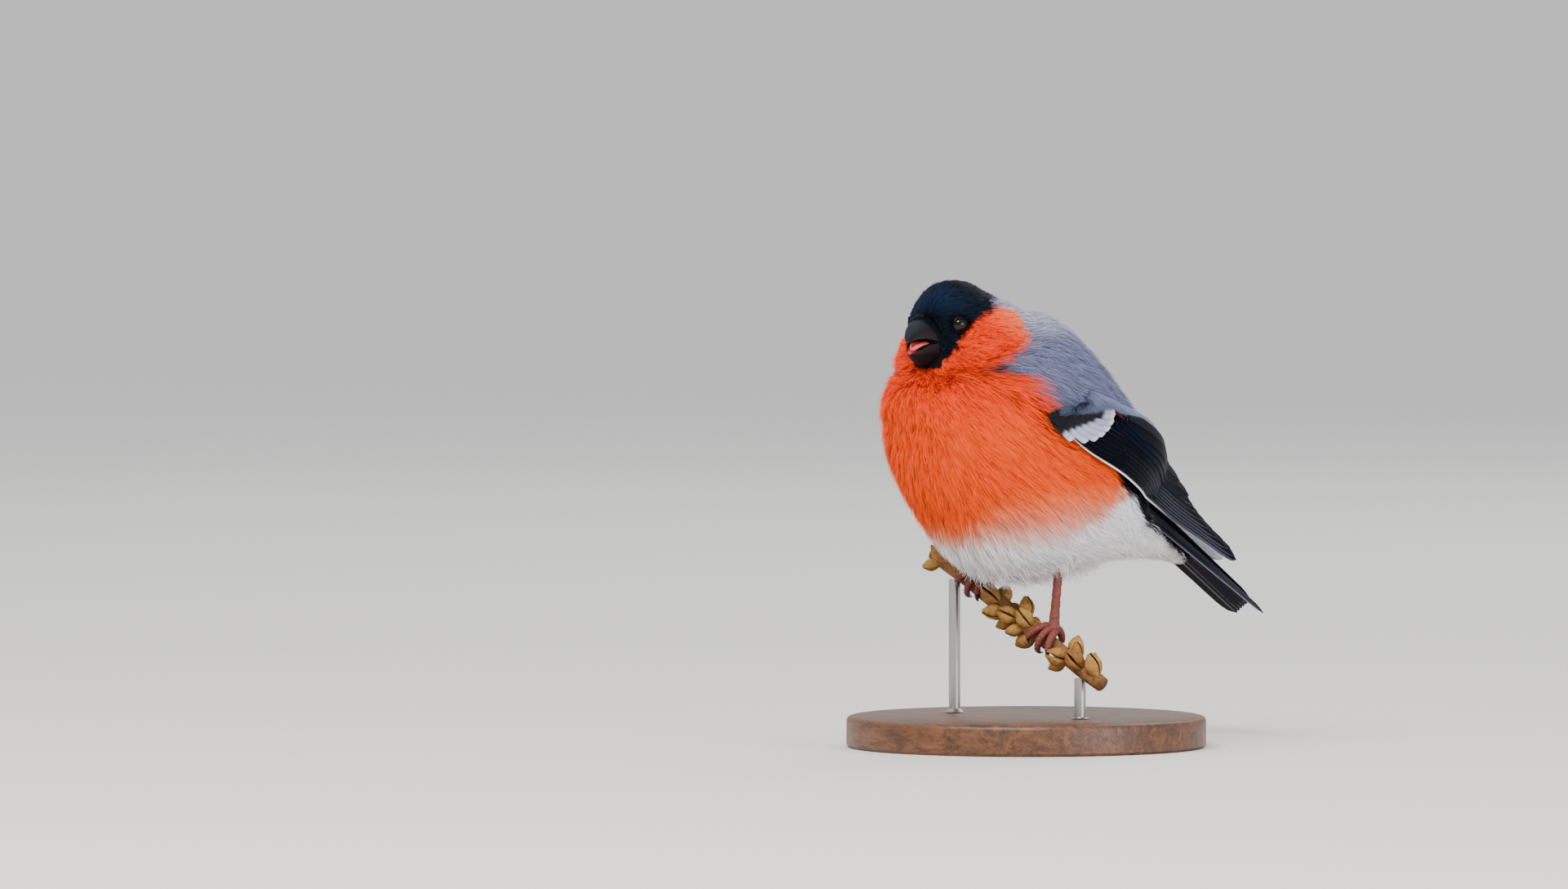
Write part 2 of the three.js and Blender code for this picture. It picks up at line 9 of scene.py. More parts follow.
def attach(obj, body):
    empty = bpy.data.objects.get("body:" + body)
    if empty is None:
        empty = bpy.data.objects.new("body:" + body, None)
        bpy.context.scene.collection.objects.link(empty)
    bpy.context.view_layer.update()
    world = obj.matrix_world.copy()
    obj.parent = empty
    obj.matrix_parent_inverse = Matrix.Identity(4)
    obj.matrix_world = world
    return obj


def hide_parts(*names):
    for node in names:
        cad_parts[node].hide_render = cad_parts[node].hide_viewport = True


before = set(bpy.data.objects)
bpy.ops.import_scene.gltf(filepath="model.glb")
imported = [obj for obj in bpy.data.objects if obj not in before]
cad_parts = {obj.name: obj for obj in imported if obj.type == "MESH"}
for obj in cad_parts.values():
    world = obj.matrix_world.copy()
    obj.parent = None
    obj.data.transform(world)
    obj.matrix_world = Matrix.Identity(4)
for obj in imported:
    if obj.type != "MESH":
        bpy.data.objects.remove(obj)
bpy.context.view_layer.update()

# Studio. A pale matt bowl of painted board, 12 m across, whose floor rises into its wall with no
# corner, under soft lights; the model stands in its middle.
BOWL_RADIUS = 6.0
BOWL_HEIGHT = 3.2
BOWL_FLAT = 2.6
BOWL_STEPS = 16  # rings of its rising part
BOWL_AROUND = 96
BOWL_PAINT = ("#dedcd8", "#e4e2de")
BIRD_PLACE = np.array([0.0, -8.0, 72.0])  # torso centre in the frame, in mm


def full_turn(count):
    """Angles spread evenly round a circle, from 0."""
    return np.linspace(0, 2 * math.pi, count, endpoint=False)


def linear(code):
    """An sRGB hex colour as linear RGBA."""
    parts = [int(code[k:k + 2], 16) / 255 for k in (1, 3, 5)]
    return tuple(c / 12.92 if c <= 0.04045 else ((c + 0.055) / 1.055) ** 2.4 for c in parts) + (1.0,)


def new_finish(name, **sockets):
    """A material with a Principled shader whose sockets, named with _ for a space, have these values."""
    material = bpy.data.materials.new(name)
    material.use_nodes = True
    shader = material.node_tree.nodes["Principled BSDF"]
    for key, value in sockets.items():
        shader.inputs[key.replace("_", " ")].default_value = value
    return material, shader


def add_node(shader, kind, sockets=None, ramp=(), **settings):
    """Adds a node beside the shader. A socket takes a number, a colour or another node's output,
    and a colour ramp takes the colours of its two ends."""
    tree = shader.id_data
    made = tree.nodes.new(kind)
    for key, value in settings.items():
        setattr(made, key, value)
    for key, value in (sockets or {}).items():
        if isinstance(value, bpy.types.NodeSocket):
            tree.links.new(value, made.inputs[key])
        else:
            made.inputs[key].default_value = value
    for k, code in enumerate(ramp):
        made.color_ramp.elements[k].color = linear(code)
    return made


def wire(shader, socket, output):
    shader.id_data.links.new(output, shader.inputs[socket])


def triangle_mesh(name, points, faces, material=None, colours=None, patch=None, lay=None):
    """A smooth mesh of points in mm from the torso's centre, with its colours and maps, if any."""
    mesh = bpy.data.meshes.new(name)
    mesh.vertices.add(len(points))
    mesh.vertices.foreach_set("co", ((points + BIRD_PLACE) / 1000).astype(np.float32).ravel())
    mesh.loops.add(faces.size)
    mesh.loops.foreach_set("vertex_index", faces.astype(np.int32).ravel())
    mesh.polygons.add(len(faces))
    starts = np.arange(0, faces.size, faces.shape[1], dtype=np.int32)
    mesh.polygons.foreach_set("loop_start", starts)
    mesh.update(calc_edges=True)
    mesh.polygons.foreach_set("use_smooth", np.ones(len(faces), bool))
    if colours is not None:
        shown = mesh.color_attributes.new(name="plumage", type="FLOAT_COLOR", domain="POINT")
        rgba = np.concatenate([colours, np.ones((len(colours), 1))], 1)
        shown.data.foreach_set("color", rgba.astype(np.float32).ravel())
    if lay is not None:
        grid = mesh.attributes.new("lay", "FLOAT_VECTOR", "POINT")
        grid.data.foreach_set("vector", lay.astype(np.float32).ravel())
    if patch is not None:
        uv = mesh.uv_layers.new(name="OFBake")
        uv.data.foreach_set("uv", patch[faces.ravel()].astype(np.float32).ravel())
    if material is not None:
        mesh.materials.append(material)
    return mesh


def add_piece(name, mesh):
    piece = bpy.data.objects.new(name, mesh)
    bpy.context.scene.collection.objects.link(piece)
    return piece


def loft(rings):
    """The closed surface through rings of equal count, as points and triangles that face outward."""
    count, around = rings.shape[:2]
    ends = np.stack([rings[0].mean(0), rings[-1].mean(0)])
    points = np.concatenate([rings.reshape(-1, 3), ends])
    r, k = np.meshgrid(np.arange(count - 1), np.arange(around), indexing="ij")
    a = (r * around + k).ravel()
    b = (r * around + (k + 1) % around).ravel()
    k = np.arange(around)
    turn = (k + 1) % around
    first = np.full(around, count * around)
    low = np.stack([first, k, turn], 1)
    high = np.stack([first + 1, turn + (count - 1) * around, k + (count - 1) * around], 1)
    sides = [np.stack([a, a + around, b], 1), np.stack([b, a + around, b + around], 1)]
    faces = np.concatenate([low, *sides, high])
    corners = points[faces]
    volume = np.einsum("ij,ij->i", corners[:, 0], np.cross(corners[:, 1], corners[:, 2])).sum()
    return points, faces if volume > 0 else faces[:, ::-1]


bowl_rows = [(0.02, 0.0), (0.5, 0.0), (BOWL_FLAT, 0.0)]
for step in range(1, BOWL_STEPS + 1):
    bend = math.pi / 2 * step / BOWL_STEPS
    rise = BOWL_HEIGHT * (1 - math.cos(bend))
    bowl_rows.append((BOWL_FLAT + (BOWL_RADIUS - BOWL_FLAT) * math.sin(bend), rise))
turns = full_turn(BOWL_AROUND)
bowl_points = np.array([[r * math.cos(t), r * math.sin(t), z] for r, z in bowl_rows for t in turns])
bowl_faces = [list(range(BOWL_AROUND))[::-1]]
for start in range(0, (len(bowl_rows) - 1) * BOWL_AROUND, BOWL_AROUND):
    for k in range(BOWL_AROUND):
        after = (k + 1) % BOWL_AROUND
        bowl_faces.append([start + k, start + after, start + BOWL_AROUND + after, start + BOWL_AROUND + k])
bowl_mesh = bpy.data.meshes.new("studio_bowl")
bowl_mesh.from_pydata([tuple(p) for p in bowl_points], [], bowl_faces)
# Matt emulsion paint: pale and even, with a faint roller stipple.
paint, shader = new_finish("matt_emulsion", Roughness=0.95, Specular_IOR_Level=0.1)
cloud = add_node(shader, "ShaderNodeTexNoise", {"Scale": 1.4, "Detail": 2.0})
tint = add_node(shader, "ShaderNodeValToRGB", {"Fac": cloud.outputs["Fac"]}, BOWL_PAINT)
wire(shader, "Base Color", tint.outputs["Color"])
bowl_mesh.materials.append(paint)
for face in bowl_mesh.polygons:
    face.use_smooth = True
bowl = add_piece("studio_bowl", bowl_mesh)

# Lights and camera. A soft light high on the left and a small one over the camera, which lights the
# eye, a broad one low on the right and one behind; a 300 mm lens, almost level with the bird.
CAMERA_TURN = 57.0
CAMERA_RISE = 2.0
PIXELS_PER_MM = 4.8  # at the torso's centre, in an image 1920 wide
LENS = 300.0
SENSOR = 36.0
TORSO_PIXEL = (1225.0, 570.0)
IMAGE_SIZE = (1920, 1088)
LIGHT_AIM = Vector((0, 0, 0.08))
# The way to each light (back, right and above), its distance and size in metres, power and colour.
LIGHTS = {
    "key_light": ((0.75, -0.55, 0.9), 1.6, 0.8, 18.0, "#fffaf2"),
    "front_light": ((0.8, -0.06, 0.62), 1.6, 0.4, 15.0, "#fffaf2"),
    "fill_light": ((0.8, 0.9, 0.02), 1.9, 1.2, 27.0, "#f3f6ff"),
    "rear_light": ((-0.9, 0.4, 0.9), 1.9, 1.0, 11.0, "#ffffff"),
}
WORLD_COLOUR = "#e9edf2"
WORLD_STRENGTH = 1.15

turn, tilt = math.radians(CAMERA_TURN), math.radians(CAMERA_RISE)
back = Vector((math.sin(turn) * math.cos(tilt), -math.cos(turn) * math.cos(tilt), math.sin(tilt)))
right = Vector((math.cos(turn), math.sin(turn), 0))
above = back.cross(right)
aim = Vector(BIRD_PLACE / 1000)
aim -= right * (TORSO_PIXEL[0] - IMAGE_SIZE[0] / 2) / PIXELS_PER_MM / 1000
aim += above * (TORSO_PIXEL[1] - IMAGE_SIZE[1] / 2) / PIXELS_PER_MM / 1000
distance = IMAGE_SIZE[0] / PIXELS_PER_MM / SENSOR * LENS / 1000
camera = bpy.data.objects.new("camera", bpy.data.cameras.new("camera"))
bpy.context.scene.collection.objects.link(camera)
camera.data.lens = LENS
camera.data.sensor_width = SENSOR
camera.data.clip_start = 0.1
camera.data.clip_end = 30.0
camera.location = aim + back * distance
camera.rotation_mode = "QUATERNION"
camera.rotation_quaternion = (-back).to_track_quat("-Z", "Y")
bpy.context.scene.camera = camera
for name, (way, away, size, power, colour) in LIGHTS.items():
    data = bpy.data.lights.new(name, "AREA")
    data.size = size
    data.energy = power
    data.color = linear(colour)[:3]
    lamp = bpy.data.objects.new(name, data)
    bpy.context.scene.collection.objects.link(lamp)
    towards = back * way[0] + right * way[1] + above * way[2]
    lamp.location = LIGHT_AIM + towards.normalized() * away
    lamp.rotation_mode = "QUATERNION"
    lamp.rotation_quaternion = towards.to_track_quat("Z", "Y")
world = bpy.data.worlds.new("studio")
world.use_nodes = True
world.node_tree.nodes["Background"].inputs["Color"].default_value = linear(WORLD_COLOUR)
world.node_tree.nodes["Background"].inputs["Strength"].default_value = WORLD_STRENGTH
bpy.context.scene.world = world

# Skin. The mounted bird's body, neck, cheeks and head under the plumage: one closed form of cast resin
# from the same eggs as the solids, sunk below them by the depth of the coat, and dyed as it is, deeper and
# darker as painted shade between the feathers.
BODY_PITCH = math.radians(40)
BREAST_HALF = 28.5
SKULL_HALF = 11.3
HEAD_TURN = math.radians(17)
HEAD_DIP = math.radians(12)
HEAD_ALONG, HEAD_LIFT = -34.8, 17  # its centre, down the body's axis and above it
SKIN_VOXEL = 0.0008
# Rounds of smoothing: over the creases between the eggs, under the throat, and after sinking.
CREASE_ROUNDS, THROAT_ROUNDS, SUNK_ROUNDS = 6, 45, 3
SKIN_SHADE_DEEPER, SKIN_SHADE_DARKER = 1.25, 0.7  # the plumage's colours, deepened and darkened on it as painted shade between the feathers
# Along the body's axis, lift above it, half width, half depth to the back and to the belly.
TORSO = np.array([
    [-37.5, -4, 0.16 * BREAST_HALF, 3.5, 4],
    [-35, -3, 0.36 * BREAST_HALF, 7, 7.5],
    [-30, 1.5, 0.66 * BREAST_HALF, 12.5, 13.5],
    [-20, 6, 0.91 * BREAST_HALF, 29, 25.5],
    [-6, 5, BREAST_HALF, 33.2, 29.5],
    [10, 5.5, BREAST_HALF, 31, 32],
    [22, 8.5, 0.88 * BREAST_HALF, 25, 28.5],
    [31, 8.5, 0.66 * BREAST_HALF, 19, 18.5],
    [38, 9.5, 0.45 * BREAST_HALF, 9.5, 10.5],
    [46, 13, 0.3 * BREAST_HALF, 6, 6],
    [54, 16, 0.19 * BREAST_HALF, 3.4, 3.6],
    [60.5, 17.6, 0.1 * BREAST_HALF, 1.8, 1.8],
])
# Forward along the bill, middle height, half width, half height above and below.
SKULL = np.array([
    [-14.5, 0.5, 0.25 * SKULL_HALF, 3, 3],
    [-12, 0.5, 0.6 * SKULL_HALF, 6.8, 7],
    [-7, 0.3, 0.92 * SKULL_HALF, 10.6, 11],
    [-1, 0, SKULL_HALF, 12.2, 12],
    [4.5, -0.5, 0.86 * SKULL_HALF, 11, 11],
    [8.5, -1, 0.61 * SKULL_HALF, 8.2, 8.6],
    [11, -1.4, 0.43 * SKULL_HALF, 5.6, 6.2],
    [12.4, -1.6, 0.3 * SKULL_HALF, 3.6, 4],
])
NECK = np.array([
    [-13, 0, 4.5, 4, 4],
    [-10, 0, 10, 8.8, 9],
    [-5, 0, 14.5, 12.6, 13.2],
    [0, 0, 16, 13.6, 14.4],
    [5, 0, 14.5, 12.2, 13.2],
    [9.5, 0, 10, 8.6, 9],
    [12, 0, 4.5, 4, 4],
])
NECK_CENTRE = np.array([0.5, -6.4, 31.0])
# The eyes' place in the head, how far their lids open ahead of it, and how far aside the skin lies in
# their sockets, which are wider than the lids by the rim.
EYE_RADIUS = 2.5
EYE_FORWARD, EYE_ASIDE, EYE_UP = 4.3, 6.75, 2.0
LID_RADIUS = 2.05
LID_AHEAD = 0.7
SOCKET_ASIDE = 7.5
SOCKET_RIM = 0.6
# The puffed cheeks, one on each side of the head, in the head's own frame.
RUFF_ASIDE = 5.5
RUFF = np.array([
    [-7, -9, 2.6, 2.4, 2.4],
    [-5.3, -9, 6.4, 6, 6],
    [-1.9, -9, 9.8, 9.2, 9.2],
    [1.5, -9, 10.7, 10, 10],
    [4.9, -9, 9.8, 9.2, 9.2],
    [8.3, -9, 6.4, 6, 6],
    [9.8, -9, 2.6, 2.4, 2.4],
])

AXIS_DOWN = np.array([0, math.cos(BODY_PITCH), -math.sin(BODY_PITCH)])
AXIS_UP = np.array([0, math.sin(BODY_PITCH), math.cos(BODY_PITCH)])
HEAD_CENTRE = HEAD_ALONG * AXIS_DOWN + HEAD_LIFT * AXIS_UP
AHEAD = np.array([
    math.sin(HEAD_TURN) * math.cos(HEAD_DIP),
    -math.cos(HEAD_TURN) * math.cos(HEAD_DIP),
    -math.sin(HEAD_DIP),
])
HEAD_LEFT = np.array([math.cos(HEAD_TURN), math.sin(HEAD_TURN), 0])
HEAD_UP = np.cross(AHEAD, HEAD_LEFT)


def unit(vectors):
    return vectors / np.maximum(np.linalg.norm(vectors, axis=-1, keepdims=True), 1e-9)


def between(rows, t):
    """Rows of a table at places from 0 to 1 along it, on a smooth curve through them."""
    rows = np.asarray(rows, float)
    place = np.clip(np.atleast_1d(t), 0, 1) * (len(rows) - 1)
    i = np.minimum(place.astype(int), len(rows) - 2)
    f = (place - i)[:, None]
    p0, p1, p2, p3 = (rows[np.clip(i + k, 0, len(rows) - 1)] for k in (-1, 0, 1, 2))
    bend = 2 * p0 - 5 * p1 + 4 * p2 - p3 + (3 * p1 - p0 - 3 * p2 + p3) * f
    return p1 + 0.5 * f * (p2 - p0 + bend * f)


def in_head(forward, left, up):
    """Places in the head's own frame: forward along the bill, to the left and up."""
    forward, left, up = np.broadcast_arrays(forward, left, up)
    return HEAD_CENTRE + forward[..., None] * AHEAD + left[..., None] * HEAD_LEFT + up[..., None] * HEAD_UP


def egg_rings(rows, stations, around, place):
    """Rings of an egg through a table's rows; place turns along, aside and up into a point."""
    rings = []
    turn = full_turn(around)
    for along, middle, wide, over, under in between(rows, np.linspace(0, 1, stations)):
        depth = np.where(np.sin(turn) > 0, over, under)
        rings.append(place(along, wide * np.cos(turn), middle + depth * np.sin(turn)))
    return np.array(rings)


def in_torso(along, aside, lift):
    along, aside, lift = np.broadcast_arrays(along, aside, lift)
    side = np.array([1.0, 0, 0])
    return along[..., None] * AXIS_DOWN + lift[..., None] * AXIS_UP + aside[..., None] * side


def in_neck(forward, left, up):
    return in_head(forward, left, up) - HEAD_CENTRE + NECK_CENTRE


def join(parts):
    """Several (points, faces, ...) as one; anything after the faces is stacked like the points."""
    shift = np.cumsum([0] + [len(part[0]) for part in parts[:-1]])
    faces = np.concatenate([part[1] + s for part, s in zip(parts, shift)])
    rest = [np.concatenate([part[k] for part in parts]) for k in range(2, len(parts[0]))]
    return (np.concatenate([part[0] for part in parts]), faces, *rest)


# Each egg's table, stations, points round and frame.
EGGS = [
    (TORSO, 70, 72, in_torso),
    (SKULL, 44, 48, in_head),
    (NECK, 36, 48, in_neck),
    (RUFF, 30, 40, lambda forward, left, up: in_head(forward, left + RUFF_ASIDE, up)),
    (RUFF, 30, 40, lambda forward, left, up: in_head(forward, left - RUFF_ASIDE, up)),
]
eggs_points, eggs_faces = join([loft(egg_rings(*egg)) for egg in EGGS])
eggs_object = add_piece("eggs", triangle_mesh("eggs", eggs_points, eggs_faces))
remesh = eggs_object.modifiers.new("remesh", "REMESH")
remesh.mode = "VOXEL"
remesh.voxel_size = SKIN_VOXEL
graph = bpy.context.evaluated_depsgraph_get()
merged = bpy.data.meshes.new_from_object(eggs_object.evaluated_get(graph))
bpy.data.objects.remove(eggs_object)


def read_mesh(mesh):
    """Points in mm and triangles of a mesh."""
    points = np.zeros(len(mesh.vertices) * 3, np.float32)
    mesh.vertices.foreach_get("co", points)
    mesh.calc_loop_triangles()
    faces = np.zeros(len(mesh.loop_triangles) * 3, np.int32)
    mesh.loop_triangles.foreach_get("vertices", faces)
    return points.reshape(-1, 3).astype(float) * 1000 - BIRD_PLACE, faces.reshape(-1, 3)


def smoothed(points, faces, rounds):
    """Points eased towards the middle of their neighbours, so that the creases run out softly."""
    pairs = np.concatenate([faces[:, [0, 1]], faces[:, [1, 2]], faces[:, [2, 0]]])
    pairs = np.concatenate([pairs, pairs[:, ::-1]])
    near = np.maximum(np.bincount(pairs[:, 0], minlength=len(points)), 1)
    for _ in range(rounds):
        total = [np.bincount(pairs[:, 0], points[pairs[:, 1], k], len(points)) for k in range(3)]
        points = points + 0.5 * (np.stack(total, 1) / near[:, None] - points)
    return points


def point_normals(points, faces):
    corners = points[faces]
    across = np.cross(corners[:, 1] - corners[:, 0], corners[:, 2] - corners[:, 0])
    total = [
        np.bincount(faces.ravel(), np.repeat(across[:, k], 3), len(points)) for k in range(3)
    ]
    return unit(np.stack(total, 1))


def soft_step(x, low, high):
    t = np.clip((x - low) / (high - low), 0, 1)
    return t * t * (3 - 2 * t)


def head_frame(points):
    away = points - HEAD_CENTRE
    return away @ AHEAD, away @ HEAD_LEFT, away @ HEAD_UP


def line_side(y, z, line):
    """Signed distance from a broken line that falls in the side view; positive above and behind it."""
    best = np.full(len(y), 1e9)
    for (y0, z0), (y1, z1) in zip(line[:-1], line[1:]):
        dy, dz = y1 - y0, z1 - z0
        t = np.clip(((y - y0) * dy + (z - z0) * dz) / (dy * dy + dz * dz), 0, 1)
        best = np.minimum(best, np.hypot(y - y0 - t * dy, z - z0 - t * dz))
    rising = line[::-1]
    edge = np.interp(z, [place[1] for place in rising], [place[0] for place in rising])
    return np.where(y > edge, best, -best)


# The lower edge of the black cap, forward and up in the head's frame.
CAP_FORWARD = [-12, -5.3, -2, 1.3, 2.9, 5.2, 7.2, 7.8, 8.2, 9, 12]
CAP_UP = [4.8, 4.1, 3.1, 2, 0.9, -0.5, -2, -4, -6.1, -7.4, -7.9]
# The grey back's edge in the side view, and the edge between the white vent and the black tail side.
GREY_EDGE = [(-14, 60), (-12, 42.5), (-4.8, 41.1), (0.2, 40.7), (0.9, 39.9), (0.4, 38.4), (-0.9, 35.3),
             (-2.9, 32.7), (-5.9, 30.5), (-9.6, 28.5), (-12.9, 26.8), (-15.6, 25.6), (-17.8, 24.6),
             (-14.6, 24.1), (-10.4, 23.2),
             (-8.9, 20.7), (-6.2, 18.2), (-5.1, 15.5), (-3.1, 11.9), (-0.8, 9.9), (7.6, 9.4),
             (19.9, 5.3), (31.8, 0.2), (44, -7.7), (70, -26)]
VENT_EDGE = [(17, -4), (22, -6.6), (30, -11.2), (38, -15.8), (47, -20.8), (55, -25.2), (60, -28)]
WHITE_EDGE_Y = [-30, -12, 4, 15.5, 24, 40]
WHITE_EDGE_Z = [-25, -22.5, -20.8, -16.2, -9, 0]
# How far the blush reaches above the white, and its shades over that reach.
BLUSH_Y = [-17, -12, 4, 10, 16, 24]
BLUSH_REACH = [9, 16, 18, 15, 12, 9]
BLUSH = [(0, "#fbf9fc"), (0.12, "#f9d6d4"), (0.27, "#fcb6a6"), (0.42, "#ff987a"), (0.62, "#ff8054"),
         (0.82, "#ff6a28"), (1, "#ff5808")]


def beside_head(points):
    """The side view's y, which turns with the head above the shoulders."""
    forward, _, _ = head_frame(points)
    y, z = points[:, 1], points[:, 2]
    return y + soft_step(z, 20, 26) * (-forward - 9.9 - y)


def zones(points, blur=0.0):
    """How far each point lies inside the cap, the grey, the white and the black by the tail."""
    forward, left, up = head_frame(points)
    aside = np.abs(left)
    cap = up - np.interp(forward, CAP_FORWARD, CAP_UP)
    cap = np.minimum(cap, forward + 10 - 1.05 * np.maximum(aside - 8.5, 0))
    cap = np.minimum(cap, 4.6 + 1.1 * np.maximum(up + 7.6, 0) - aside)
    _, y, z = points.T
    grey = line_side(beside_head(points), z, GREY_EDGE)
    along = points @ AXIS_DOWN
    lift = points @ AXIS_UP
    white = np.interp(y, WHITE_EDGE_Y, WHITE_EDGE_Z) - z
    dark = np.minimum(line_side(y, z, VENT_EDGE), y - 18)
    rump = np.minimum(lift - 13, along - 33)
    return cap + blur, grey + blur, white + blur, dark + blur, rump + blur


def tone(code, count=None):
    """A colour as linear RGB, or as rows of it."""
    colour = np.array(linear(code)[:3])
    return colour if count is None else np.tile(colour, (count, 1))


def mix(first, second, share):
    return first + (second - first) * share[:, None]


def markings(points, blur=0.0):
    """The plumage's colour at each point, for the skin and every feather alike."""
    cap, grey, white, dark, rump = zones(points, blur)
    forward, left, up = head_frame(points)
    _, y, z = points.T
    heights = [h for h, _ in BLUSH]
    shades = np.array([linear(code)[:3] for _, code in BLUSH])
    reach = -white / np.interp(y, BLUSH_Y, BLUSH_REACH)
    warm = np.stack([np.interp(reach, heights, shades[:, k]) for k in range(3)], 1)
    warm = mix(warm, tone("#f43c00"), 0.8 * soft_step(z, 6, 24))
    beside = beside_head(points)
    # Painted shade: a dark red band along the fold where the cheeks overhang the breast.
    fold_shade = np.exp(-((z - 24.0) / 0.9) ** 2) * soft_step(np.abs(left), 6, 11)
    warm = mix(warm, tone("#8c2a08"), 0.6 * fold_shade)
    cheek = soft_step(-forward, 1, 9) * soft_step(z, 24, 30)
    warm = mix(warm, tone("#ff9260"), 0.65 * cheek)
    cool = mix(tone("#747a99", len(points)), tone("#a9aac0"), soft_step(z, 30, 38) * soft_step(y, -12, -2))
    cool = mix(cool, tone("#5d6682"), soft_step(-z, -20, -12) * soft_step(-y, -16, -6))
    # Behind the cheek's lower edge the plumage parts, and the crease there is darkened with painted shade.
    crease = soft_step(-beside, 11, 15) * soft_step(z, 22.5, 24)
    cool = mix(cool, tone("#4a1c0e"), 0.8 * crease)
    shown = mix(warm, cool, soft_step(grey, -0.7, 0.7))
    shown = mix(shown, tone("#f6f4f8"), soft_step(rump, -0.5, 1) * (y < 52))
    black = tone("#07090f")
    shown = mix(shown, black, soft_step(dark, -0.4, 0.6) * (grey < 2))
    tail_root = np.maximum(soft_step(y, 51, 53) * (points @ AXIS_UP > 17), soft_step(y, 56, 58))
    shown = mix(shown, black, tail_root)
    # Painted sheen: the cap is bluer and paler on the crown and forehead, where its gloss catches the light.
    painted_sheen = soft_step(up, 3, 10) * soft_step(forward, -4, 6)
    hood = mix(tone("#080c14", len(points)), tone("#102036"), painted_sheen)
    return mix(shown, hood, soft_step(cap, -0.4, 0.4))


BREAST_DEPTH, BACK_THINNER = 2.7, 0.7
FACE_DEPTH, CAP_DEPTH = 1.8, 0.9


def coat_depth(points):
    """How deep the plumage is, in mm: thin on the face, deepest on the breast and belly."""
    cap, grey, _, _, _ = zones(points)
    forward, _, _ = head_frame(points)
    depth = BREAST_DEPTH - BACK_THINNER * soft_step(grey, -3, 3)
    depth = depth + (FACE_DEPTH - depth) * soft_step(forward, -12, -4) * soft_step(points[:, 2], 22, 28)
    depth = depth + (CAP_DEPTH - depth) * soft_step(cap, -3, 1)
    along = points @ AXIS_DOWN
    return depth * np.clip((62 - along) / 24, 0.12, 1)


skin_points, skin_faces = read_mesh(merged)
skin_points = smoothed(skin_points, skin_faces, CREASE_ROUNDS)
forward, _, up = head_frame(skin_points)
throat = soft_step(forward, 1, 6) * soft_step(-up, 2, 8) * soft_step(up, -24, -18)
skin_points = mix(skin_points, smoothed(skin_points, skin_faces, THROAT_ROUNDS), throat)
outer_points = skin_points.copy()
skin_normals = point_normals(skin_points, skin_faces)
skin_points = skin_points - skin_normals * coat_depth(skin_points)[:, None]
skin_points = smoothed(skin_points, skin_faces, SUNK_ROUNDS)
skin_normals = point_normals(skin_points, skin_faces)
# The sockets, where the skin gives way to the eyes.
forward, left, up = head_frame(skin_points)
in_socket = np.hypot(forward - EYE_FORWARD - LID_AHEAD, up - EYE_UP) < LID_RADIUS + SOCKET_RIM
sunk = np.where(in_socket, np.maximum(np.abs(left) - SOCKET_ASIDE, 0), 0) * np.sign(left)
skin_points = skin_points - HEAD_LEFT * sunk[:, None]
# Dyed resin: dull and slightly rough; the plumage's colours, darkened on it, stand as painted shade between
# the feathers.
resin, shader = new_finish("casting_resin_painted_shade", Roughness=0.85, Specular_IOR_Level=0.15)
dye = add_node(shader, "ShaderNodeAttribute", attribute_name="plumage").outputs["Color"]
mottle = add_node(shader, "ShaderNodeTexNoise", {"Scale": 900.0, "Detail": 3.0})
shade = add_node(shader, "ShaderNodeMix", {0: mottle.outputs["Fac"], 6: dye, 7: linear("#1c1512")},
                 data_type="RGBA")
dim = add_node(shader, "ShaderNodeMix", {0: 0.85, 6: shade.outputs[2], 7: dye}, data_type="RGBA")
wire(shader, "Base Color", dim.outputs[2])
# Painted shade: the plumage's colours, deepened and darkened, for the skin seen between the feathers.
skin_colours = markings(outer_points) ** SKIN_SHADE_DEEPER * SKIN_SHADE_DARKER
skin_mesh = triangle_mesh("skin", skin_points, skin_faces, resin, skin_colours)
skin = add_piece("skin", skin_mesh)
skin_mesh.uv_layers.new(name="OFBake")
bpy.context.view_layer.objects.active = skin
skin.select_set(True)
bpy.ops.object.mode_set(mode="EDIT")
bpy.ops.mesh.select_all(action="SELECT")
bpy.ops.uv.smart_project(angle_limit=math.radians(66), island_margin=0.002)
bpy.ops.object.mode_set(mode="OBJECT")
skin.select_set(False)
skin_map = np.zeros(len(skin_mesh.loops) * 2, np.float32)
skin_mesh.uv_layers["OFBake"].data.foreach_get("uv", skin_map)
skin_map = skin_map.reshape(-1, 3, 2).astype(float)
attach(skin, "root")
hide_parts("mantle", "breast", "belly", "neck", "head")

# Coat. Small soft body feathers, each a tuft of fine barbs that leave one root and lie back along
# the body from bill to tail; they overlap like thatch and are loosest at their tips.
BILL_ROOT = in_head(9.0, 0.0, -2.0)
TAIL_ROOT = np.array([0.0, 62.0, -26.0])
PIECE_LIMIT = 185000  # triangles in one piece of the coat
PATCH = 0.0028  # side of a tuft's patch on the skin's map
BARB_STATIONS = np.array([0.0, 0.36, 0.7, 1.0])
rng = np.random.default_rng(11)
skin_tree = BVHTree.FromPolygons(skin_points.tolist(), skin_faces.tolist())


def on_skin(points):
    """The nearest places on the skin, with their normals."""
    found = np.empty_like(points)
    normals = np.empty_like(points)
    for k, point in enumerate(points.tolist()):
        place, _, face, _ = skin_tree.find_nearest(point)
        found[k] = place
        normals[k] = skin_normals[skin_faces[face]].mean(0)
    return found, unit(normals)


def patch_of(points):
    """Where the nearest places of the skin lie on its map."""
    return np.array([skin_map[skin_tree.find_nearest(point)[2]].mean(0) for point in points.tolist()])


def lie_of(points, normals):
    """The way the plumage lies: from the bill towards the tail, along the skin."""
    way = unit(points - BILL_ROOT) + unit(TAIL_ROOT - points)
    x, y, z = points.T
    swirl = 0.10 * np.sin(0.31 * y + 0.23 * z) + 0.07 * np.sin(0.53 * x - 0.47 * z + 1.3)
    way = way - normals * np.einsum("ij,ij->i", way, normals)[:, None]
    way = unit(way)
    aside = np.cross(normals, way)
    return unit(way * np.cos(swirl)[:, None] + aside * np.sin(swirl)[:, None])


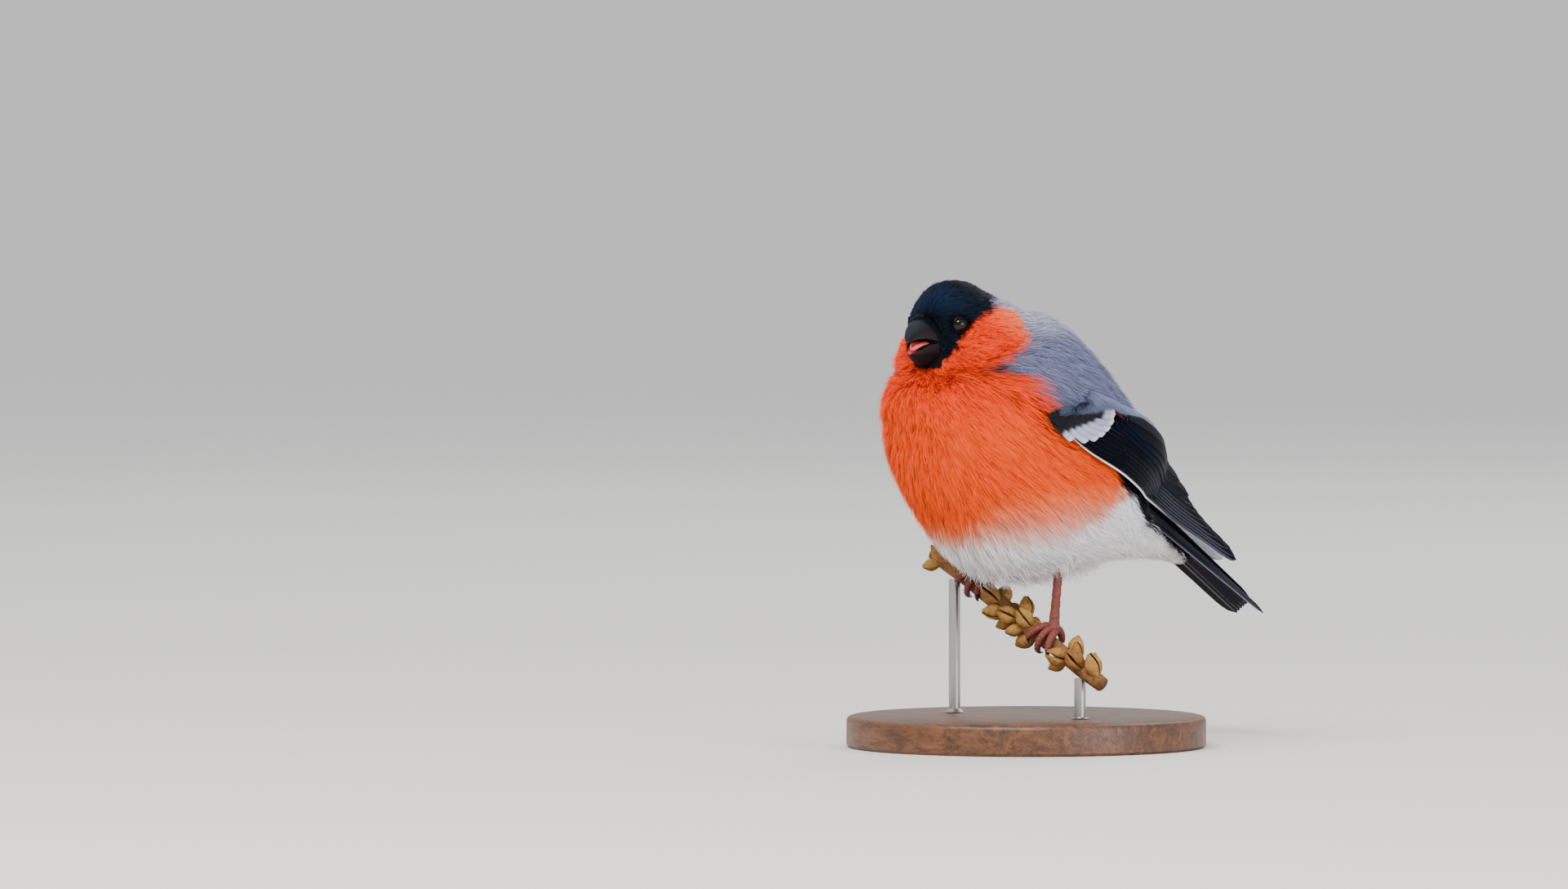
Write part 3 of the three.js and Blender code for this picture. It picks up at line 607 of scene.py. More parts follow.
def sow(density):
    """Roots spread evenly over the skin, as many to the square mm as density says at each point."""
    corners = skin_points[skin_faces]
    area = np.linalg.norm(np.cross(corners[:, 1] - corners[:, 0], corners[:, 2] - corners[:, 0]), axis=1) / 2
    wanted = np.cumsum(area * density(corners.mean(1)))
    count = int(wanted[-1])
    picks = (np.arange(count) + rng.random(count)) * wanted[-1] / count
    face = np.minimum(np.searchsorted(wanted, picks), len(skin_faces) - 1)
    share = rng.random((count, 2))
    share = np.where(share.sum(1, keepdims=True) > 1, 1 - share, share)
    share = np.concatenate([share, 1 - share.sum(1, keepdims=True)], 1)[:, :, None]
    roots = (corners[face] * share).sum(1)
    normals = unit((skin_normals[skin_faces[face]] * share).sum(1))
    return roots, normals, (skin_map[face] * share).sum(1)


def tufts(path, normals, patch, half_width, rise, barbs, thick, colours, loose=1.0, dusk=0.4):
    """Tufts of barbs along paths of three points each. Gives points, faces, colours and patches."""
    count = len(path)
    stations = len(BARB_STATIONS)
    q = np.linspace(-1, 1, barbs)[None, :] + 0.5 / barbs * rng.standard_normal((count, barbs))
    reach = 1.0 - 0.2 * q * q + 0.13 * loose * rng.standard_normal((count, barbs))
    t = np.clip(reach, 0.35, 1.3)[:, :, None] * BARB_STATIONS
    first, middle, last = (path[:, None, None, k] for k in range(3))
    t4 = t[..., None]
    spine = first * (1 - t4) * (1 - 2 * t4) + middle * 4 * t4 * (1 - t4) + last * t4 * (2 * t4 - 1)
    n0, n1, n2 = (normals[:, None, None, k] for k in range(3))
    normal = unit(n0 * (1 - t4) * (1 - 2 * t4) + n1 * 4 * t4 * (1 - t4) + n2 * t4 * (2 * t4 - 1))
    run = unit(path[:, 2] - path[:, 0])[:, None, None]
    aside = unit(np.cross(normal, run))
    s = BARB_STATIONS[None, None, :]
    wander = 0.16 * loose * rng.standard_normal((count, barbs))[:, :, None] * s
    out = (q[:, :, None] * (0.4 + 0.8 * s - 0.5 * s * s) + wander) * half_width[:, None, None]
    lift = rise[:, None] * (1 + 0.12 * loose * rng.standard_normal((count, barbs)) - 0.12 * q * q)
    height = lift[:, :, None] * (1 - (1 - s) ** 1.8) - 0.15 * (1 - s)
    centre = spine + aside * out[..., None] + normal * height[..., None]
    roll = (0.3 * q + 0.22 * rng.standard_normal((count, barbs)))[:, :, None, None]
    flat = aside * np.cos(roll) + normal * np.sin(roll)
    half = thick * np.array([0.7, 1.0, 0.75, 0.0]) * (0.8 + 0.4 * rng.random((count, barbs)))[:, :, None]
    left = centre - flat * half[..., None]
    right_side = centre + flat * half[..., None]
    ribbon = np.stack([left[:, :, :-1], right_side[:, :, :-1]], 3).reshape(count, barbs, -1, 3)
    points = np.concatenate([ribbon, centre[:, :, -1:]], 2).reshape(-1, 3)
    per = 2 * stations - 1
    base = np.arange(count * barbs)[:, None, None] * per
    pattern = [[2 * k, 2 * k + 1, 2 * k + 3] for k in range(stations - 2)]
    pattern += [[2 * k, 2 * k + 3, 2 * k + 2] for k in range(stations - 2)]
    pattern += [[per - 3, per - 2, per - 1]]
    faces = (base + np.array(pattern)[None]).reshape(-1, 3)
    light = 1 + 0.06 * rng.standard_normal((count, 1)) + 0.10 * rng.standard_normal((count, barbs))
    # Towards the root each barb is deeper in hue and darker, as far as dusk says: partly the feathers' own
    # grey bases, partly painted shade inside the coat.
    depth = dusk * (1 - np.repeat(BARB_STATIONS, 2)[:per]) ** 1.3
    deep = colours[:, None, None] ** (1 + 0.6 * depth)[None, None, :, None]
    shown = deep * np.clip(light, 0.6, 1.4)[:, :, None, None] * (1.04 - depth)[None, None, :, None]
    corner = np.stack(np.broadcast_arrays(0.5 * q[:, :, None], np.repeat(BARB_STATIONS, 2)[:per] - 0.5), 3)
    spots = patch[:, None, None] + PATCH * corner * 0.5
    return points, faces, np.clip(shown, 0, 1).reshape(-1, 3), spots.reshape(-1, 2)


def comb(roots, normals, length, jitter):
    """Paths of three points that follow the skin from each root along the lie of the coat."""
    way = lie_of(roots, normals)
    turn = jitter * rng.standard_normal(len(roots))[:, None]
    way = way * np.cos(turn) + np.cross(normals, way) * np.sin(turn)
    half = length[:, None] / 2
    middle, middle_normals = on_skin(roots + way * half)
    way = unit(middle - roots)
    way = unit(way - middle_normals * np.einsum("ij,ij->i", way, middle_normals)[:, None])
    last, last_normals = on_skin(middle + way * half)
    return np.stack([roots, middle, last], 1), np.stack([normals, middle_normals, last_normals], 1)


def lay_coat(name, finish, parts):
    """The coat's tufts as pieces that each stay under the limit."""
    points, faces, colours, patch = join(parts)
    per_barb = 2 * len(BARB_STATIONS) - 1
    faces_per_barb = 2 * len(BARB_STATIONS) - 3
    barbs = len(points) // per_barb
    shares = math.ceil(len(faces) / PIECE_LIMIT)
    for k in range(shares):
        start, end = barbs * k // shares, barbs * (k + 1) // shares
        rows = slice(start * per_barb, end * per_barb)
        own = faces[start * faces_per_barb:end * faces_per_barb] - start * per_barb
        mesh = triangle_mesh(name, points[rows], own, finish, colours[rows], patch[rows])
        piece = add_piece(f"{name}_{k + 1}", mesh)
        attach(piece, "root")


def plumage(name, **sockets):
    """Keratin barbs: the dye is in the feather, and each barb is a little lighter or darker."""
    finish, shader = new_finish(name, **sockets)
    dye = add_node(shader, "ShaderNodeAttribute", attribute_name="plumage")
    grain = add_node(shader, "ShaderNodeTexNoise", {"Scale": 1500.0, "Detail": 2.0})
    span = add_node(shader, "ShaderNodeMapRange",
                    {"Value": grain.outputs["Fac"], "To Min": 0.86, "To Max": 1.14})
    dappled = add_node(shader, "ShaderNodeVectorMath",
                       {0: dye.outputs["Color"], "Scale": span.outputs["Result"]}, operation="SCALE")
    wire(shader, "Base Color", dappled.outputs["Vector"])
    return finish


WING_LOWER = np.array([
    [26, -6.2, 13.5], [26.8, 4.8, 4.4], [25.1, 17.9, -2.3], [21.7, 30.7, -8.8],
    [15.3, 43.1, -14.8], [8.8, 55.8, -20.1], [3, 68.8, -26.4],
])
WING_UPPER = np.array([
    [27, 1, 14.6], [26, 10.4, 15.2], [22, 21.9, 12.9], [16, 33, 9.2],
    [9, 44.9, -0.6], [6, 55.1, -12.9], [2, 68.3, -22.6],
])


def under_wing(points):
    """How far, in mm, each point lies inside a folded wing's outline in the side view."""
    x, y, z = points.T
    low = np.interp(y, WING_LOWER[:, 1], WING_LOWER[:, 2])
    high = np.interp(y, WING_UPPER[:, 1], WING_UPPER[:, 2])
    inside = np.minimum(np.minimum(z - low, high - z), np.minimum(y + 3, 66 - y))
    return np.where(np.abs(x) > 4, inside, -1)


def in_bill(points):
    forward, left, up = head_frame(points)
    return (forward > 8.9) & (np.abs(left) < 4.4) & (up > -7.6) & (up < 5.6)


def past_lid(points):
    """How far each point of the face lies outside the eyelid, seen from the side."""
    forward, left, up = head_frame(points)
    away = np.hypot(forward - EYE_FORWARD - LID_AHEAD, up - EYE_UP) - LID_RADIUS
    return np.where(np.abs(left) > 4, away, 9)


def coat_of(zone, density, length, width, barbs, thick, jitter=0.1, loose=1.0, dusk=0.4, lifted=1.0):
    """Tufts whose shown ends lie where zone(points) says."""
    roots, normals, patch = sow(density)
    long = length(roots) * (1 + 0.12 * rng.standard_normal(len(roots)))
    long = np.minimum(long, np.maximum(0.9 * past_lid(roots) + 0.3, 0.5))
    path, ways = comb(roots, normals, long, jitter)
    seen = 0.35 * path[:, 1] + 0.65 * path[:, 2]
    seen = seen + 0.9 * ways[:, 2] * coat_depth(seen)[:, None]
    keep = zone(seen, 0.4 * rng.standard_normal(len(roots)))
    keep &= (under_wing(roots) < 2.2) & ~in_bill(roots) & (past_lid(roots) > 0.15)
    path, ways, patch, seen, roots = path[keep], ways[keep], patch[keep], seen[keep], roots[keep]
    rise = lifted * coat_depth(roots) * (0.45 + 0.65 * rng.random(len(roots)))
    shown = markings(seen, 0.3 * rng.standard_normal(len(roots)))
    return tufts(path, ways, patch, width * (0.85 + 0.3 * rng.random(len(roots))), rise, barbs,
                 thick, shown, loose, dusk)


def from_bill(points, near, far, short, long):
    away = np.linalg.norm(points - BILL_ROOT, axis=1)
    return short + (long - short) * soft_step(away, near, far)


# Cap, face and bib: short dense feathers with a blue-black gloss.
gloss_black = plumage("glossy_black_plumage", Roughness=0.5, Specular_IOR_Level=0.2,
                      Specular_Tint=linear("#8fb4e6"))
cap_part = coat_of(
    lambda p, blur: (zones(p)[0] + blur > 0) & (p[:, 2] > 18),
    lambda p: np.where((zones(p)[0] > -2.5) & (p[:, 2] > 18), 4.4, 0),
    lambda p: from_bill(p, 2, 16, 1.2, 3.2),
    width=0.7, barbs=8, thick=0.055, loose=0.8, dusk=0.25)


def collar(place, count, reach, wide, shade, lift):
    """Bristles round the bill's root, from place(turn) forward over the horn."""
    turn = rng.random(count)
    forward, left, up = place(turn)
    roots = in_head(forward, left, up)
    ends = in_head(forward + reach(turn), left, up)
    out = unit(in_head(0 * left, left, up + 1.0) - HEAD_CENTRE)
    way = np.stack([roots, (roots + ends) / 2 + out * lift, ends], 1)
    return tufts(way, np.repeat(out[:, None], 3, 1), patch_of(roots), np.full(count, wide),
                 np.full(count, 0.15), barbs=6, thick=0.045, colours=tone(shade, count),
                 loose=1.2, dusk=0.2)


def bill_root(turn):
    """Round the bill's root: from the left corner of the mouth over the ridge, or under the chin."""
    angle = 2 * math.pi * turn
    up = -1.2 + np.where(np.sin(angle) > 0, 6.6, 6.2) * np.sin(angle)
    return 8.3 + 0.5 * rng.random(len(turn)), 4.75 * np.cos(angle), up


bristles = collar(
    bill_root, 1100, lambda turn: 1.3 + 2.0 * np.clip(np.sin(2 * math.pi * turn), -0.15, 1),
    wide=0.45, shade="#080a10", lift=0.45)
lay_coat("coat_cap", gloss_black, [cap_part, bristles])

# Cheeks, throat, breast and flanks: long soft orange feathers whose barbs hang apart like hair.
CHEEK_FLOOR = 24.5  # height of the cheeks' lower edge
soft_orange = plumage("soft_orange_plumage", Roughness=0.75, Specular_IOR_Level=0.08)


def is_orange(points, blur=0.0):
    cap, grey, white, dark, _ = zones(points)
    return (cap + blur < 0) & (grey + blur < 0) & (white + 1.5 * blur < -1.5) & (dark + blur < 0)


breast_part = coat_of(
    lambda p, blur: is_orange(p, blur) & (p[:, 2] + blur < CHEEK_FLOOR),
    lambda p: np.where((zones(p)[1] < 2) & (zones(p)[0] < 4) & (p[:, 2] < 32),
                       from_bill(p, 8, 40, 2.2, 1.4), 0),
    lambda p: from_bill(p, 3, 30, 2.2, 7.5),
    width=1.2, barbs=13, thick=0.07, jitter=0.12, loose=1.2, dusk=0.42)
# The cheeks' feathers are shorter and closer, so that their edge is round.
cheek_part = coat_of(
    lambda p, blur: is_orange(p, blur) & (p[:, 2] + blur >= CHEEK_FLOOR),
    lambda p: np.where((zones(p)[1] < 2.5) & (zones(p)[0] < 4) & (p[:, 2] > 20), 3.0, 0),
    lambda p: from_bill(p, 3, 22, 2.0, 4.4),
    width=0.85, barbs=12, thick=0.055, jitter=0.12, loose=1.0, dusk=0.4, lifted=1.15)


def fringe(pick, density, length, width, barbs, rise, shades, jitter=0.2):
    """Long loose tufts along an edge, which stand off the plumage that they hang over."""
    roots, normals, patch = sow(lambda p: np.where(pick(p), density, 0))
    long = length * (0.75 + 0.5 * rng.random(len(roots)))
    path, ways = comb(roots, normals, long, jitter)
    shown = shades(roots)
    return tufts(path, ways, patch, width * (0.7 + 0.6 * rng.random(len(roots))),
                 rise * (0.8 + 0.4 * rng.random(len(roots))), barbs, thick=0.06, colours=shown,
                 loose=1.8, dusk=0.3)


def fringe_shades(points):
    """Orange as on the breast, with a dark strand here and there at the wing's edge: painted shade for the
    gaps between the wisps.
    """
    shown = markings(points - np.array([0, 2.0, 0]))
    # Dark strands as painted shade between the wisps.
    dark = (rng.random(len(points)) < 0.14) & (points[:, 2] < 20)
    return np.where(dark[:, None], tone("#4a1c0e"), shown)


cheek_fringe = fringe(
    lambda p: ((zones(p)[1] < -0.6) & (zones(p)[1] > -3.6) & (zones(p)[0] < -1)
               & (p[:, 2] > 24.6) & (p[:, 2] < 34)),
    density=1.8, length=3.0, width=0.6, barbs=9, rise=2.4, shades=fringe_shades)
breast_fringe = fringe(
    lambda p: ((zones(p)[1] < 0) & (zones(p)[1] > -4.5) & (under_wing(p) < 0.5)
               & (p[:, 2] > 6) & (p[:, 2] < 23.6)),
    density=1.5, length=8.0, width=0.5, barbs=6, rise=3.2, shades=fringe_shades)
lay_coat("coat_orange", soft_orange, [breast_part, cheek_part, cheek_fringe, breast_fringe])

# Nape, mantle and shoulders: blue-grey feathers, a little stiffer.
soft_grey = plumage("soft_grey_plumage", Roughness=0.7, Specular_IOR_Level=0.2)
grey_part = coat_of(
    lambda p, blur: (zones(p)[0] + blur < 0) & (zones(p)[1] + blur >= 0) & (zones(p)[4] + blur < 0),
    lambda p: np.where(zones(p)[1] > -6, from_bill(p, 18, 40, 2.4, 1.5), 0),
    lambda p: from_bill(p, 10, 34, 3.6, 7.2),
    width=1.2, barbs=13, thick=0.07, jitter=0.12, loose=1.1, dusk=0.42)

# Belly, vent and rump: white down-like feathers that fray along the lower edge of the body.
soft_white = plumage("soft_white_plumage", Roughness=0.75, Specular_IOR_Level=0.2)


def is_white(points, blur=0.0):
    _, grey, white, dark, rump = zones(points)
    low = (grey + blur < 0) & (white + 1.5 * blur >= -1.5) & (dark + blur < 0)
    high = (rump + blur >= 0) & (points[:, 1] < 52) & (grey + blur >= 0)
    return low | high


def towards_tail(points):
    """From 1 on the body down to a third at the narrow root of the tail."""
    return np.clip((60 - points @ AXIS_DOWN) / 26, 0.33, 1)


white_part = coat_of(
    is_white,
    lambda p: np.where((zones(p)[2] > -9) | (zones(p)[4] > -8), 1.45, 0),
    lambda p: 8.0 * towards_tail(p),
    width=1.25, barbs=12, thick=0.07, jitter=0.14, loose=1.4, dusk=0.2)
frayed = fringe(
    lambda p: (p[:, 2] < -22) & (p[:, 1] > -14) & (p[:, 1] < 24) & (zones(p)[2] > 1),
    density=0.7, length=7.0, width=1.0, barbs=8, rise=3.8,
    shades=lambda p: tone("#f6f4f8", len(p)), jitter=0.5)


def thigh(hip, count):
    """Down that hangs from the belly round the top of a shank."""
    turn = 2 * math.pi * rng.random(count)
    away = 1.2 + 2.6 * rng.random(count)
    spot = hip + np.stack([away * np.cos(turn), away * np.sin(turn), 1.5 + 0 * turn], 1)
    roots, normals = on_skin(spot)
    out = np.stack([np.cos(turn), np.sin(turn), 0 * turn], 1)
    drop = np.array([0, 0.12, -1.0]) * (3.0 + 2.4 * rng.random(count))[:, None]
    way = np.stack([roots, roots + drop * 0.55 + out * 0.7, roots + drop + out * 0.3], 1)
    return tufts(way, np.repeat(out[:, None], 3, 1), patch_of(roots), np.full(count, 0.9),
                 np.full(count, 0.3), barbs=9, thick=0.065, colours=tone("#efedf1", count),
                 loose=1.6, dusk=0.25)


HIPS = {"left": np.array([12.4, 9.9, -22.5]), "right": np.array([-11.0, 4.5, -21.5])}
thighs = [thigh(hip, 120) for hip in HIPS.values()]
lay_coat("coat_white", soft_white, [white_part, frayed, *thighs])

# Coverts at the root of the tail and along its sides: glossy black.


def is_tail_black(points, blur=0.0):
    _, grey, _, dark, _ = zones(points)
    y = points[:, 1]
    root = (y > 56.5) | (y > 52) & (points @ AXIS_UP > 17)
    return (dark + blur >= 0) & (grey + blur < 2.5) | root & (grey > 0)


dark_part = coat_of(
    is_tail_black,
    lambda p: np.where(p[:, 1] > 10, 1.9, 0),
    lambda p: 6.5 * towards_tail(p),
    width=1.0, barbs=10, thick=0.07, jitter=0.08, loose=0.7, dusk=0.2)
lay_coat("coat_tail_root", gloss_black, [dark_part])

# Wings. Stiff vanes of keratin on a shaft, folded like a fan, each feather over the next one below;
# over their roots lie the coverts, whose pale tips make the wing bar.
WING_LIFT = 1.2  # the wing's own surface above the body
WING_SWAY = 3.5  # how far both tips swing to the bird's left with the tail
VANE_COLUMNS = np.array([-1, -0.9, -0.5, -0.1, 0, 0.1, 0.5, 0.9, 1])
torso_ladder = between(TORSO, np.linspace(0, 1, 3000))


def drape(points, clear):
    """Points moved straight out from the torso's axis, where need be, until they clear it."""
    along = points @ AXIS_DOWN
    lift, wide, over, under = (
        np.interp(along, torso_ladder[:, 0], torso_ladder[:, k]) for k in (1, 2, 3, 4)
    )
    up = points @ AXIS_UP - lift
    out = np.hypot(points[:, 0] / (wide + clear), up / (np.where(up > 0, over, under) + clear))
    safe = np.maximum(out, 1e-6)
    moved = in_torso(along, points[:, 0] / safe, lift + up / safe)
    return np.where(out[:, None] >= 1, points, moved)


def wing_place(side, u, d):
    low = between(WING_LOWER, u)
    rise = between(WING_UPPER, u) - low
    tall = np.linalg.norm(rise, axis=1)
    points = drape(low + rise * (d / tall)[:, None], WING_LIFT)
    points[:, 0] = side * points[:, 0] + WING_SWAY * np.clip(u, 0, 1) ** 3
    return points


def on_wing(side, u, d):
    """Places on a wing, u from wrist to tip and d mm up from its lower edge, with along and out."""
    u, d = (np.array(v, float) for v in np.broadcast_arrays(u, d))
    near = np.minimum(u, 0.99)
    along = unit(wing_place(side, near + 0.01, d) - wing_place(side, near - 0.02, d))
    rise = unit(wing_place(side, u, d + 0.8) - wing_place(side, u, d - 0.8))
    out = unit(np.cross(along, rise))
    out = out * np.where(out[:, :1] * side < 0, -1, 1)
    return wing_place(side, u, d), along, out


def shell(top, bottom):
    """The closed surface between two grids of points, as points and triangles that face outward."""
    rows, columns = top.shape[:2]
    count = rows * columns
    points = np.concatenate([top.reshape(-1, 3), bottom.reshape(-1, 3)])
    r, c = np.meshgrid(np.arange(rows - 1), np.arange(columns - 1), indexing="ij")
    a = (r * columns + c).ravel()
    b, d, e = a + 1, a + columns, a + columns + 1
    over = np.concatenate([np.stack([a, b, e], 1), np.stack([a, e, d], 1)])
    edge = np.arange(count).reshape(rows, columns)
    rim = np.concatenate([edge[0, :-1], edge[:-1, -1], edge[-1, :0:-1], edge[:0:-1, 0]])
    after = np.roll(rim, -1)
    wall = [np.stack([after, rim, rim + count], 1), np.stack([after, rim + count, after + count], 1)]
    faces = np.concatenate([over, over[:, ::-1] + count, *wall])
    corners = points[faces]
    middle = points.mean(0)
    volume = np.einsum("ij,ij->i", corners[:, 0] - middle,
                       np.cross(corners[:, 1] - middle, corners[:, 2] - middle)).sum()
    return points, faces if volume > 0 else faces[:, ::-1]


def vane(middle, down, out, low, high, tip, thick, face, under, edge, camber, ragged=0.0, rim=0.85):
    """A feather along its shaft's points. low and high are its webs' widths, tip is where it starts
    to round off, and the web beyond rim takes the edge's colour; colours are linear.
    The lower face's third number in the grid is negative, which tells the faces apart."""
    stations = len(middle)
    s = np.linspace(0, 1, stations)
    near = np.clip((s - tip) / (1 - tip), 0, 1)
    full = np.clip(0.45 + 2.2 * s, 0, 1) * np.sqrt(1 - near ** 2 * 0.995)
    notch = 1 - ragged * np.clip(rng.standard_normal((2, stations)), 0, 1.5) * soft_step(s, 0.3, 0.9)
    t = VANE_COLUMNS[None, :]
    across = np.where(t > 0, t * (low * full * notch[0])[:, None], t * (high * full * notch[1])[:, None])
    ridge = np.where(np.abs(t) < 0.05, 0.1, 0) * (1 - 0.6 * s[:, None])
    bulge = thick / 2 * (1 - 0.7 * np.abs(t)) + ridge
    sag = camber * np.abs(across) ** 1.5
    lie = middle[:, None] + down[:, None] * across[..., None]
    top = lie + out[:, None] * (bulge - sag)[..., None]
    bottom = lie - out[:, None] * (bulge + sag)[..., None]
    points, faces = shell(top, bottom)
    web = np.broadcast_to(t[..., None], (stations, len(VANE_COLUMNS), 1))
    edged = soft_step(web, rim, rim + 0.15)
    upper = face[:, None] * (1 - edged) + np.broadcast_to(edge, face.shape)[:, None] * edged
    lower = np.broadcast_to(np.asarray(under)[None, None], upper.shape)
    shaft = soft_step(-np.abs(web), -0.09, -0.02)
    upper = upper * (1 - 0.35 * shaft)
    lower = lower + (tone("#a5a0aa") - lower) * 0.6 * shaft
    length = np.linalg.norm(np.diff(middle, axis=0), axis=1).sum()
    grid = np.stack([across, s[:, None] * length + 0 * across, 1 + rng.random() * 50 + 0 * across], 2)
    colours = np.concatenate([upper.reshape(-1, 3), lower.reshape(-1, 3)])
    return points, faces, colours, np.concatenate([grid.reshape(-1, 3), grid.reshape(-1, 3) * [1, 1, -1]])


def wing_vane(side, root, tip, low, high, height, blunt, face, under, edge, thick=0.34, **more):
    """A feather from a root to a tip on the wing, each given as u and d."""
    stations = len(face)
    s = np.linspace(0, 1, stations)
    u, d = (root[k] + (tip[k] - root[k]) * s for k in (0, 1))
    points, along, out = on_wing(side, u, d)
    down = unit(np.cross(along, out)) * side
    middle = points + out * np.broadcast_to(height, (stations,))[:, None]
    return vane(middle, down, out, low, high, blunt, thick, face, under, edge, camber=0.05, **more)


def bed(side, low, high, rows, columns, height, colour):
    """The dark down that the wing's feathers lie on, as one thin quilt that closes every gap."""
    u, share = np.meshgrid(np.linspace(low, high, rows), np.linspace(0, 1, columns), indexing="ij")
    tall = np.linalg.norm(between(WING_UPPER, u.ravel()) - between(WING_LOWER, u.ravel()), axis=1)
    points, _, out = on_wing(side, u.ravel(), 1.4 + share.ravel() * (tall - 3.2))
    swell = height * np.sin(math.pi * share.ravel())[:, None]
    top = (points + out * (swell - 0.1)).reshape(rows, columns, 3)
    under_side = (points + out * -1.2).reshape(rows, columns, 3)
    made, faces = shell(top, under_side)
    return made, faces, tone(colour, len(made)), np.tile([0.0, 0.0, 1.0], (len(made), 1))


def feather_piece(name, feathers, finish, under_finish):
    """Feathers as one piece, whose lower faces take the finish of their undersides."""
    points, faces, colours, lay = join(feathers)
    mesh = triangle_mesh(name, points, faces, finish, colours, lay=lay)
    mesh.materials.append(under_finish)
    mesh.polygons.foreach_set("material_index", (lay[faces][..., 2].max(1) < 0).astype(np.int32))
    piece = add_piece(name, mesh)
    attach(piece, "root")
    return piece


BARB_SPACING = 0.4
BARB_RELIEF = 0.3


def barbed(name, slope, **sockets):
    """Keratin vanes: smooth and glossy, with the fine slanting ribs of their barbs.
    The ribs stand 0.4 mm apart, four times as coarse as real ones, so that they show."""
    finish, shader = new_finish(name, **sockets)
    dye = add_node(shader, "ShaderNodeAttribute", attribute_name="plumage")
    place = add_node(shader, "ShaderNodeAttribute", attribute_name="lay")
    part = add_node(shader, "ShaderNodeSeparateXYZ", {0: place.outputs["Vector"]})
    web = add_node(shader, "ShaderNodeMath", {0: part.outputs["X"]}, operation="ABSOLUTE")
    slant = add_node(shader, "ShaderNodeMath", {0: web.outputs[0], 1: -slope, 2: part.outputs["Y"]},
                     operation="MULTIPLY_ADD")
    rib = add_node(shader, "ShaderNodeMath", {0: slant.outputs[0], 1: 2 * math.pi / BARB_SPACING},
                   operation="MULTIPLY")
    wave = add_node(shader, "ShaderNodeMath", {0: rib.outputs[0]}, operation="SINE")
    cloud = add_node(shader, "ShaderNodeTexNoise",
                     {"Vector": place.outputs["Vector"], "Scale": 0.9, "Detail": 3.0})
    rough = add_node(shader, "ShaderNodeMath", {0: cloud.outputs["Fac"], 1: 1.4, 2: wave.outputs[0]},
                     operation="MULTIPLY_ADD")
    bump = add_node(shader, "ShaderNodeBump",
                    {"Height": rough.outputs[0], "Strength": BARB_RELIEF, "Distance": 0.00004})
    span = add_node(shader, "ShaderNodeMapRange", {"Value": rough.outputs[0], "From Min": -1.0,
                                                   "From Max": 2.4, "To Min": 0.75, "To Max": 1.3})
    ribbed = add_node(shader, "ShaderNodeVectorMath",
                      {0: dye.outputs["Color"], "Scale": span.outputs["Result"]}, operation="SCALE")
    wire(shader, "Base Color", ribbed.outputs["Vector"])
    wire(shader, "Normal", bump.outputs["Normal"])
    return finish


glossy_vane = barbed("glossy_black_keratin", 1.1, Roughness=0.42, Specular_IOR_Level=0.045,
                     Specular_Tint=linear("#8fa6ee"))
# The undersides, without gloss: the same ribs under a dull bloom.
dull_vane = barbed("dull_charcoal_keratin", 1.1, Roughness=0.8, Specular_IOR_Level=0.08)

# Root u and d, tip u and d, height: nine primaries, then the three tertials.
PRIMARIES = [
    (0.06, 1.5, 0.985, 0.4, 0.1), (0.12, 2.4, 1.0, 0.9, 0.28), (0.13, 3.3, 0.985, 1.7, 0.46),
    (0.14, 4.2, 0.95, 2.5, 0.64), (0.15, 5.1, 0.905, 3.4, 0.82), (0.16, 5.9, 0.865, 4.3, 1.0),
    (0.17, 6.7, 0.825, 5.3, 1.18), (0.19, 7.6, 0.79, 6.4, 1.36), (0.21, 8.5, 0.76, 7.7, 1.54),
]
TERTIALS = [(0.25, 10.0, 0.745, 9.3, 1.84), (0.27, 10.9, 0.68, 11.2, 2.14), (0.29, 11.6, 0.6, 13.2, 2.44)]
for side, name in ((1, "left"), (-1, "right")):
    feathers = [bed(side, low=0.0, high=0.72, rows=30, columns=9, height=0.3, colour="#07080d")]
    for k, (root_u, root_d, tip_u, tip_d, height) in enumerate(PRIMARIES):
        s = np.linspace(0, 1, 34)
        hairline = mix(tone("#15161f", 34), tone("#585a6c"), soft_step(s, 0.3, 0.7))
        if k == 0:
            hairline = mix(tone("#fbf8f4", 34), tone("#55545e"), soft_step(s, 0.42, 0.62))
        feathers.append(wing_vane(
            side, (root_u, root_d), (tip_u, tip_d), 1.15, 2.9, height, blunt=0.88, face=tone("#05060c", 34),
            under=tone("#b4b1c2"), edge=hairline, rim=0.7 if k == 0 else 0.85))
    for root_u, root_d, tip_u, tip_d, height in TERTIALS:
        feathers.append(wing_vane(
            side, (root_u, root_d), (tip_u, tip_d), 3.0, 3.2, height, blunt=0.72, face=tone("#04060f", 30),
            under=tone("#3a3a48"), edge=tone("#10152a"), thick=0.36, ragged=0.02))
    # The innermost one is small, with a red-brown outer web.
    s = np.linspace(0, 1, 20)
    feathers.append(wing_vane(
        side, (0.23, 11.8), (0.275, 11.0), 0.4, 0.45, 2.75, blunt=0.75,
        face=mix(tone("#431109", 20), tone("#05060c"), soft_step(s, 0.6, 0.9)),
        under=tone("#2a2a33"), edge=tone("#3a120d"), thick=0.3))
    # Primary coverts.
    for k in range(4):
        feathers.append(wing_vane(
            side, (0.05 + 0.012 * k, 2.1 + k), (0.27 + 0.014 * k, 1.9 + 1.05 * k), 0.8, 1.6, 0.7 + 0.18 * k,
            blunt=0.8, face=tone("#06070d", 20), under=tone("#2a2a33"), edge=tone("#1c1d26"), thick=0.3))
    piece = feather_piece(f"flight_feathers_{name}", feathers, glossy_vane, dull_vane)
    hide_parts(f"wing_{name}")

# Wing bar. Greater coverts with black roots and broad pale tips, and over the wrist the small black
# coverts that they grow under. Grey shoulder feathers hang over the wing's upper edge.
COVERTS = 7
LESSER_ROWS = 3
